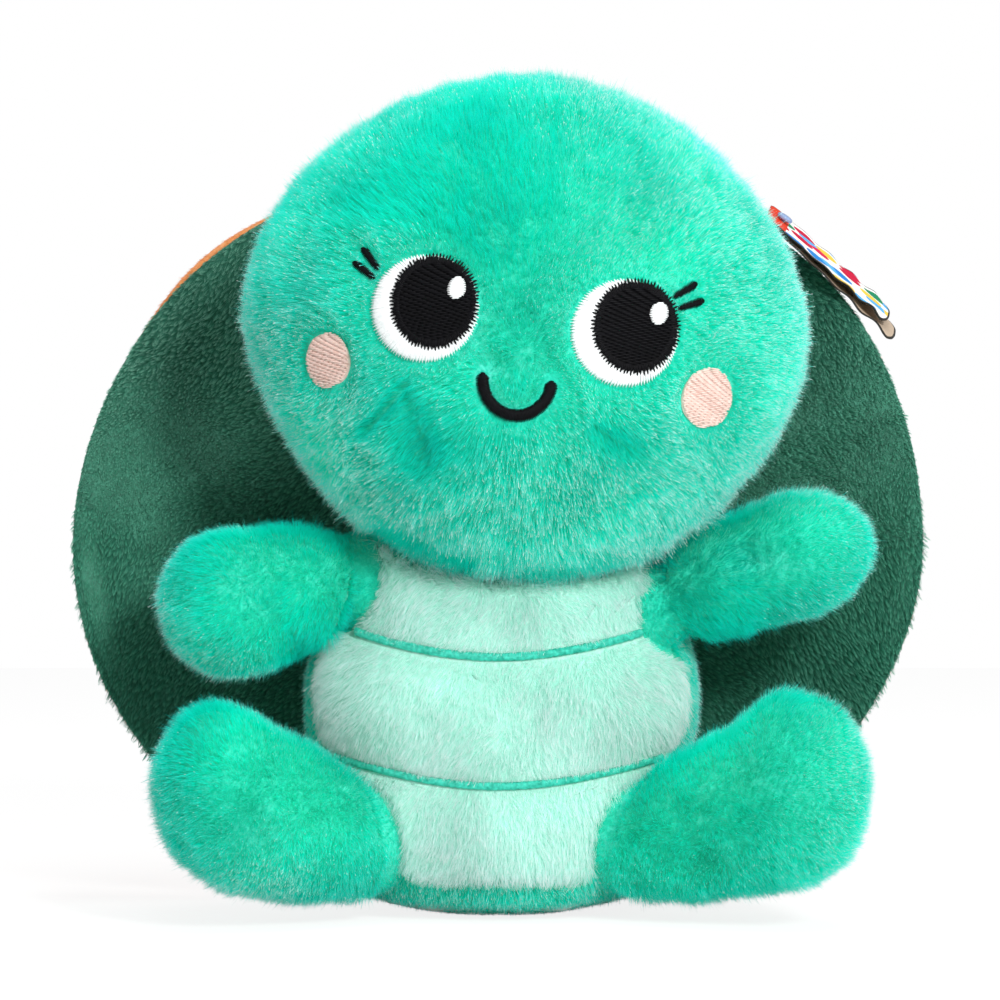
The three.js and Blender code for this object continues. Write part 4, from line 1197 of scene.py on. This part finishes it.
# Folds of the dish, drawn in by the neck and the limbs: from, to, depth and half width in mm, seen from
# the front
shell_folds = [((-52, 110), (-102, 94), 4.5, 11), ((-84, 146), (-58, 112), 3.4, 11),
               ((80, 146), (58, 118), 4.0, 11), ((60, 112), (100, 128), 2.5, 9),
               ((-113, 98), (-101, 56), 2.0, 6), ((58, 74), (104, 60), 3.0, 10),
               ((-60, 72), (-100, 60), 3.0, 9), ((112, 96), (104, 62), 1.6, 6),
               ((-104, 120), (-70, 152), 1.6, 8)]


def dish_depth(x, z):
    share = np.clip((z - lean_from) / (lean_to - lean_from), 0, 1)
    lean = shell_lean * share * share * (3 - 2 * share)
    side = np.maximum(0, (np.abs(x) / shell_half_width - shell_flat_share) / (1 - shell_flat_share))
    depth = shell_front + lean - shell_curl * side * side
    for start, end, drawn, half_width in shell_folds:
        start, end = np.array(start) * MM, np.array(end) * MM
        run = end - start
        place = np.stack([x, z], -1)
        along = np.clip(((place - start) @ run) / (run @ run), 0, 1)
        away = np.linalg.norm(place - start - along[..., None] * run, axis=-1)
        depth = depth + drawn * MM * np.exp(-(away / (half_width * MM)) ** 2) * (1 - 0.5 * along)
    return depth


def shell_place(reach, angles, inset):
    upper = np.sin(angles) > 0
    skew = shell_skew * np.cos(angles)
    power = np.where(upper, upper_squareness + skew, lower_squareness - skew / 2)
    half_height = np.where(upper, shell_rise, shell_drop) - inset
    swell = (np.abs(np.cos(angles)) ** power + np.abs(np.sin(angles)) ** power) ** (-1 / power)
    return ((shell_half_width - inset) * reach * swell * np.cos(angles),
            shell_middle + half_height * reach * swell * np.sin(angles))


def quilting(reach, angles):
    spoke = math.pi / quilt_panels
    turn = np.mod(angles, 2 * spoke) - spoke
    radius = reach * shell_half_width
    to_ring = radius - quilt_ring_share * shell_half_width
    nearest = np.where(to_ring > 0, np.minimum(to_ring, np.abs(radius * np.sin(turn))), -to_ring)
    return quilt_depth * np.exp(-((nearest / quilt_width) ** 2))


def shell_points(rings, angles, back, inset):
    reach = np.sin(rings * math.pi / 2)
    x, z = shell_place(reach, angles, 0)
    showing = orange_stand * np.exp(-((angles - orange_at) / orange_run) ** 2) - 0.4 * MM
    showing = showing * reach ** 12 if back else 0
    rim_x, rim_z = shell_place(np.ones_like(reach), angles, 0)
    edge = (rim_radius - inset) * np.sqrt(np.maximum(0, 1 - reach ** rim_sharpness))
    rim_depth = dish_depth(rim_x, rim_z) + rim_radius
    if back:
        drawn = quilting(reach, angles) * (1 - reach ** rim_sharpness)
        y = shell_apex + (rim_depth - shell_apex) * reach * reach + edge - drawn
    else:
        y = dish_depth(x, z) + rim_radius - edge
    inset_x, inset_z = shell_place(reach, angles, inset)
    inset_x, inset_z = inset_x + showing * np.cos(angles), inset_z + showing * np.sin(angles)
    return np.stack([inset_x, y, np.maximum(inset_z, inset)], 1)


shell_rings, shell_around = 40, 220


def shell_side(back):
    """One side of the shell as a closed cloth: the points of its outer and inner faces, and its faces."""
    ring, angle = disc_grid(shell_rings, shell_around)
    shift = [0, layer_gap / 2 if back else -layer_gap / 2, 0]
    points = [shell_points(ring, angle, back, inset) + shift for inset in (0, cloth_thickness)]
    faces = lens_faces(shell_rings, shell_around)
    return np.concatenate(points), faces if back else turned_over(faces)


green_cloth = plush_cloth("green_velour_cloth", "#235c4a", "#357a63", "#48917a", 1.4 * MM)
# The last colour of each fibre is the pale colour of its painted sheen; the green's runs from 0.35 of the way
# along.
green_fibre = pile_fibre("green_velour_fibre", "#1f604c", "#479b81", "#6cbfa2", "#a4dfca", 0.35)
orange_cloth = plush_cloth("orange_velour_cloth", "#d9803f", "#ea9657", "#f9b37c", 1.4 * MM)
orange_fibre = pile_fibre("orange_velour_fibre", "#f8a266", "#ffb884", "#ffcea8", "#ffe6d0")


def comb_shell(points):
    """The short pile lies down and out to either side."""
    across = points[:, 0]
    by_rim = np.clip((np.abs(across) - 95 * MM) / (20 * MM), 0, 1)
    outward = 1.1 * np.tanh(across / (30 * MM)) * (1 - 0.6 * by_rim)
    return np.stack([outward, 0 * across, -1.0 + 0 * across], 1)


def shell_painted_sheen(points, normals):
    """Painted sheen on the velour: palest where it turns away at the rim, and painted highlight above, most
    on the right, over the shade of the head.
    """
    side = np.where(points[:, 0] < 0, 1.0, 0.35) * np.clip(np.abs(points[:, 0]) / (70 * MM), 0, 1)
    upper = side * np.clip((points[:, 2] - 110 * MM) / (40 * MM), 0, 1)
    aside = 0.9 * (1 - np.abs(normals[:, 1])) ** 1.5
    return np.clip(aside + 0.8 * upper + 0.02 + 0.12 * ripple(points, 30 * MM, 311), 0.02, 1)


def trim_lining(points, normals):
    """The pile is shorter round the rim, and none grows behind the body."""
    covered = open_torso.holds_placed(points + [0, -6 * MM, 0], 0)
    return np.where((normals[:, 1] > 0.8) | covered, 0, 0.25 + 0.75 * np.clip(-3 * normals[:, 1] - 1.7, 0, 1))


def trim_cover(points, normals):
    """The pile is drawn in along the quilting seams, and shows at the rim only where the orange does."""
    across, up = points[:, 0], points[:, 2] - shell_middle
    angle = np.arctan2(up, across)
    showing = np.abs(angle - orange_at) < 1.6 * orange_run
    drawn = quilting(np.hypot(across, up) / shell_half_width, angle) / quilt_depth
    return np.where(normals[:, 1] < 0.35, np.where(showing, 0.4, 0), 1 - 0.6 * drawn ** 8)


lining_points, lining_faces = shell_side(back=False)
shell_lining = new_piece("shell_lining_cloth", lining_points, lining_faces, green_cloth, "root",
                         "green_plush", "shell_lining")
grow_pile(shell_lining, green_fibre, length=2.9 * MM, per_mm2=7.0, width=0.09 * MM, stand=0.36,
          comb=comb_shell, seed=700, trim=trim_lining, pale=shell_painted_sheen, unruly=0.1, clump=0.78,
          clump_size=1.15 * MM, painted_glint_share=0, stray=0.03)
cover_points, cover_faces = shell_side(back=True)
shell_cover = new_piece("shell_cover_cloth", cover_points, cover_faces, orange_cloth, "root", "orange_plush",
                        "shell_cover")
grow_pile(shell_cover, orange_fibre, length=2.0 * MM, per_mm2=4.0, width=0.09 * MM, stand=0.55,
          comb=comb_shell, seed=800, trim=trim_cover, painted_glint_share=0, stray=0)

# Fillings
# Loose polyester fibre fills every skin, and a woven bag of plastic pellets lies in the seat. None of it
# shows from outside. The shell's filling is made anew, so that it follows the fine cloth round it.
def wadding(name, deep, pale, lump, roughness):
    """Matt loose stuff with soft lumps and hollows."""
    return lumpy_material(name, deep, pale, {"Scale": 1 / lump, "Detail": 5.0, "Roughness": 0.7}, None,
                          {"Strength": 0.5, "Distance": 0.6 * MM},
                          {"Roughness": roughness, "Specular IOR Level": 0.2})


fibre_filling = wadding("loose_fibre_filling", "#dcdcd6", "#f6f6f1", 3 * MM, 0.95)
bag_cloth = wadding("woven_pellet_bag_cloth", "#cdc6ba", "#e2dccf", 2.5 * MM, 0.85)
for name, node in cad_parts.items():
    if name.endswith("_filling") or name == "pellet_bag":
        for material_slot in node.material_slots:
            material_slot.material = bag_cloth if name == "pellet_bag" else fibre_filling

# The shell's filling ends short of the rim, and lies a little behind the lining so that it never shows
filling_inset, filling_reach_share, filling_set_back = cloth_thickness + 2 * MM, 0.92, 0.8 * MM
ring, angle = disc_grid(shell_rings, shell_around)
ring = ring * filling_reach_share
filling_front = shell_points(ring, angle, False, filling_inset)
filling_edge = (rim_radius - filling_inset) * np.sqrt(1 - np.sin(ring * math.pi / 2) ** rim_sharpness)
filling_depth = dish_depth(filling_front[:, 0], filling_front[:, 2]) + rim_radius - filling_edge
filling_front[:, 1] = filling_depth + filling_set_back
filling_back = shell_points(ring[:-shell_around], angle[:-shell_around], True, filling_inset)
new_piece("shell_filling_fibre", np.concatenate([filling_front, filling_back]),
          turned_over(lens_faces(shell_rings, shell_around, shared_rim=True)), fibre_filling, "root",
          "fibre_filling", "shell_filling")

# Hang tag
# A folded card with wavy edges, printed with spots outside and plain inside, on a clear plastic post
# that goes through the shell's seam and ends in an oval button.
tag_length, tag_width, card_thickness = 52 * MM, 36 * MM, 0.5 * MM
tag_opening, tag_place, tag_lean, tag_droop = (math.radians(a) for a in (7, 50, 12, 8))
tag_standoff, tag_hole_inset = 4.5 * MM, 5 * MM
tag_side_waves, tag_wave_depth, tag_ripple = 4, 1.1 * MM, 0.55 * MM
leaf_leans, upper_leaf_short = (math.radians(-1.5), math.radians(0.9)), 5 * MM
post_radius, button_half = 0.55 * MM, np.array([2.5, 2.1, 0.95]) * MM
post_foot = layer_gap - tag_standoff

seam, before = shell_points(np.ones(2), np.array([tag_place, tag_place + math.radians(1)]), False, 0)
along_rim = (seam - before) * [1, 0, 1]
along_rim /= np.linalg.norm(along_rim)
standing = Vector((-along_rim[2], 0, along_rim[0]))
standing.rotate(Matrix.Rotation(tag_lean, 3, Vector(along_rim)))
standing = np.array(standing)
tag_axes = np.array([along_rim, np.cross(standing, along_rim), standing])
tag_hole = seam + [0, layer_gap / 2, 0] + standing * tag_standoff


def in_tag(points):
    """Places in the tag's own frame, on the toy."""
    return points @ tag_axes + tag_hole


def drooped(points):
    """The tag hangs a little from its post."""
    x, y, z = np.moveaxis(points, -1, 0)
    return np.stack([x * math.cos(tag_droop) + z * math.sin(tag_droop), y,
                     -x * math.sin(tag_droop) + z * math.cos(tag_droop)], -1)


def folded_card(columns, rows):
    """The card from the end of its lower leaf round the fold to the end of its upper leaf, and where each
    place is on the print."""
    run = np.linspace(-1, 1, rows)
    share = np.abs(run)
    across = np.linspace(-1, 1, columns)[None]
    length = tag_length - 2 * tag_wave_depth * across ** 4
    length = length - upper_leaf_short * (run[:, None] > 0) * share[:, None]
    half = tag_width / 2 - tag_wave_depth * (1 - np.cos(2 * math.pi * tag_side_waves * share)) / 2
    out = share[:, None] * length
    lean = np.where(run > 0, leaf_leans[1], leaf_leans[0])
    bulge = np.sign(run) * 0.4 * MM * (1 - np.exp(-share * 30))
    y = half[:, None] * across
    waves = tag_ripple * np.sin(2 * math.pi * share * tag_side_waves * 1.2)
    rippled = waves[:, None] * across ** 2 * share[:, None]
    x = out * np.cos(lean)[:, None] - tag_hole_inset
    z = out * np.sin(lean)[:, None] + bulge[:, None] + rippled
    normal = unit(np.stack([-np.sin(np.abs(lean)) - np.exp(-share * 60), 0 * share, np.sign(run)], 1))
    middle = drooped(np.stack([x, y + 0 * x, z], 2))
    thick = drooped(normal)[:, None] * card_thickness / 2
    outer, inner = (middle + thick).reshape(-1, 3), (middle - thick).reshape(-1, 3)
    edge = np.minimum(half[:, None] - np.abs(y), length - out)
    place = np.stack([out * np.sign(run)[:, None], y + 0 * x, edge], 2).reshape(-1, 3)
    return in_tag(outer), in_tag(inner), place


def printed_card(name):
    """Coated card: white with round spots in bright colours and a red-orange strip by the fold outside,
    beige inside, and a band of painted shade along its edges."""
    material, tree = new_material(name)
    place = add(tree, "ShaderNodeAttribute", attribute_name="print_place")
    outside = add(tree, "ShaderNodeAttribute", attribute_name="outside")
    parts = add(tree, "ShaderNodeSeparateXYZ", links={0: place.outputs["Vector"]})
    cells = add(tree, "ShaderNodeTexVoronoi", {"Scale": 1 / (9 * MM), "Randomness": 0.7},
                {"Vector": place.outputs["Vector"]}, voronoi_dimensions="2D")
    choice = add(tree, "ShaderNodeSeparateColor", links={0: cells.outputs["Color"]})
    colours = ("#e00a50", "#1a86d8", "#4cb2f0", "#fad24c", "#d0003c", "#128c60", "#5cb8f2")
    places = [number / 7 for number in range(6)] + [0.86]
    spots = add(tree, "ShaderNodeValToRGB", links={"Fac": choice}, stops=zip(places, colours))
    spots.color_ramp.interpolation = "CONSTANT"
    in_spot = add(tree, "ShaderNodeMath", {1: 0.47}, {0: cells.outputs["Distance"]}, operation="LESS_THAN")
    spotted = add(tree, "ShaderNodeMix", {"A": linear("#fbfaf6")}, {"Factor": in_spot, "B": spots},
                  data_type="RGBA")
    from_fold = add(tree, "ShaderNodeMath", links={0: parts.outputs["X"]}, operation="ABSOLUTE")
    by_fold = add(tree, "ShaderNodeMath", {1: 7 * MM}, {0: from_fold}, operation="LESS_THAN")
    front = add(tree, "ShaderNodeMix", {"B": linear("#e23a14")}, {"Factor": by_fold, "A": spotted},
                data_type="RGBA")
    faces = add(tree, "ShaderNodeMix", {"A": linear("#c9b59e")},
                {"Factor": outside.outputs["Fac"], "B": front}, data_type="RGBA")
    # Painted shade: a dark band along the card's edges.
    in_painted_edge_shade = add(tree, "ShaderNodeMath", {1: 0.7 * MM}, {0: parts.outputs["Z"]}, operation="LESS_THAN")
    with_painted_edge_shade = add(tree, "ShaderNodeMix", {"B": linear("#33302c")}, {"Factor": in_painted_edge_shade, "A": faces},
                data_type="RGBA")
    card = add(tree, "ShaderNodeBsdfPrincipled", {"Roughness": 0.6, "Specular IOR Level": 0.12},
               {"Base Color": with_painted_edge_shade})
    finish_material(tree, card)
    return material


card_columns, card_rows = 61, 161
card_outer, card_inner, print_place = folded_card(card_columns, card_rows)
card_faces = slab_faces(card_columns, card_rows)
hang_tag = new_piece("hang_tag_card", np.concatenate([card_outer, card_inner]), card_faces,
                     printed_card("printed_card"), "tag", "card", "hang_tag")
places = hang_tag.data.attributes.new("print_place", "FLOAT_VECTOR", "POINT")
places.data.foreach_set("vector", np.concatenate([print_place, print_place]).astype(np.float32).ravel())
sides = hang_tag.data.attributes.new("outside", "FLOAT", "POINT")
sides.data.foreach_set("value", np.repeat([1.0, 0.0], len(print_place)).astype(np.float32))


def clear_plastic(name, colour):
    """Tinted clear plastic: smooth, with light passing through it."""
    material, tree = new_material(name)
    plastic = add(tree, "ShaderNodeBsdfPrincipled", {"Base Color": linear(colour), "Roughness": 0.2,
                                                     "Transmission Weight": 0.35})
    finish_material(tree, plastic)
    return material


button_base = (tag_hole_inset + button_half[0]) * math.tan(tag_opening / 2) + card_thickness / 2 + layer_gap
turns = np.arange(16) * math.pi / 8
post_heights = np.array([post_foot, post_foot / 2, 0, button_base + button_half[2] * 0.6])
post = np.stack([np.tile(np.cos(turns), 4) * post_radius, np.tile(np.sin(turns), 4) * post_radius,
                 np.repeat(post_heights, 16)], 1)
post_faces = [tuple(range(15, -1, -1)), tuple(range(48, 64))]
post_faces += [(r * 16 + i, r * 16 + (i + 1) % 16, (r + 1) * 16 + (i + 1) % 16, (r + 1) * 16 + i)
               for r in range(3) for i in range(16)]
button_rays, button_faces = ball_rays(4)
button = np.sign(button_rays) * np.abs(button_rays) ** [1, 1, 0.7] * button_half
button += [0, 0, button_base + button_half[2]]
loop_points, loop_faces = joined((in_tag(post), post_faces), (in_tag(button), button_faces))
new_piece("tag_post_and_button", loop_points, loop_faces, clear_plastic("blue_clear_plastic", "#a4c0ea"),
          "root", "tag_plastic", "tag_loop")
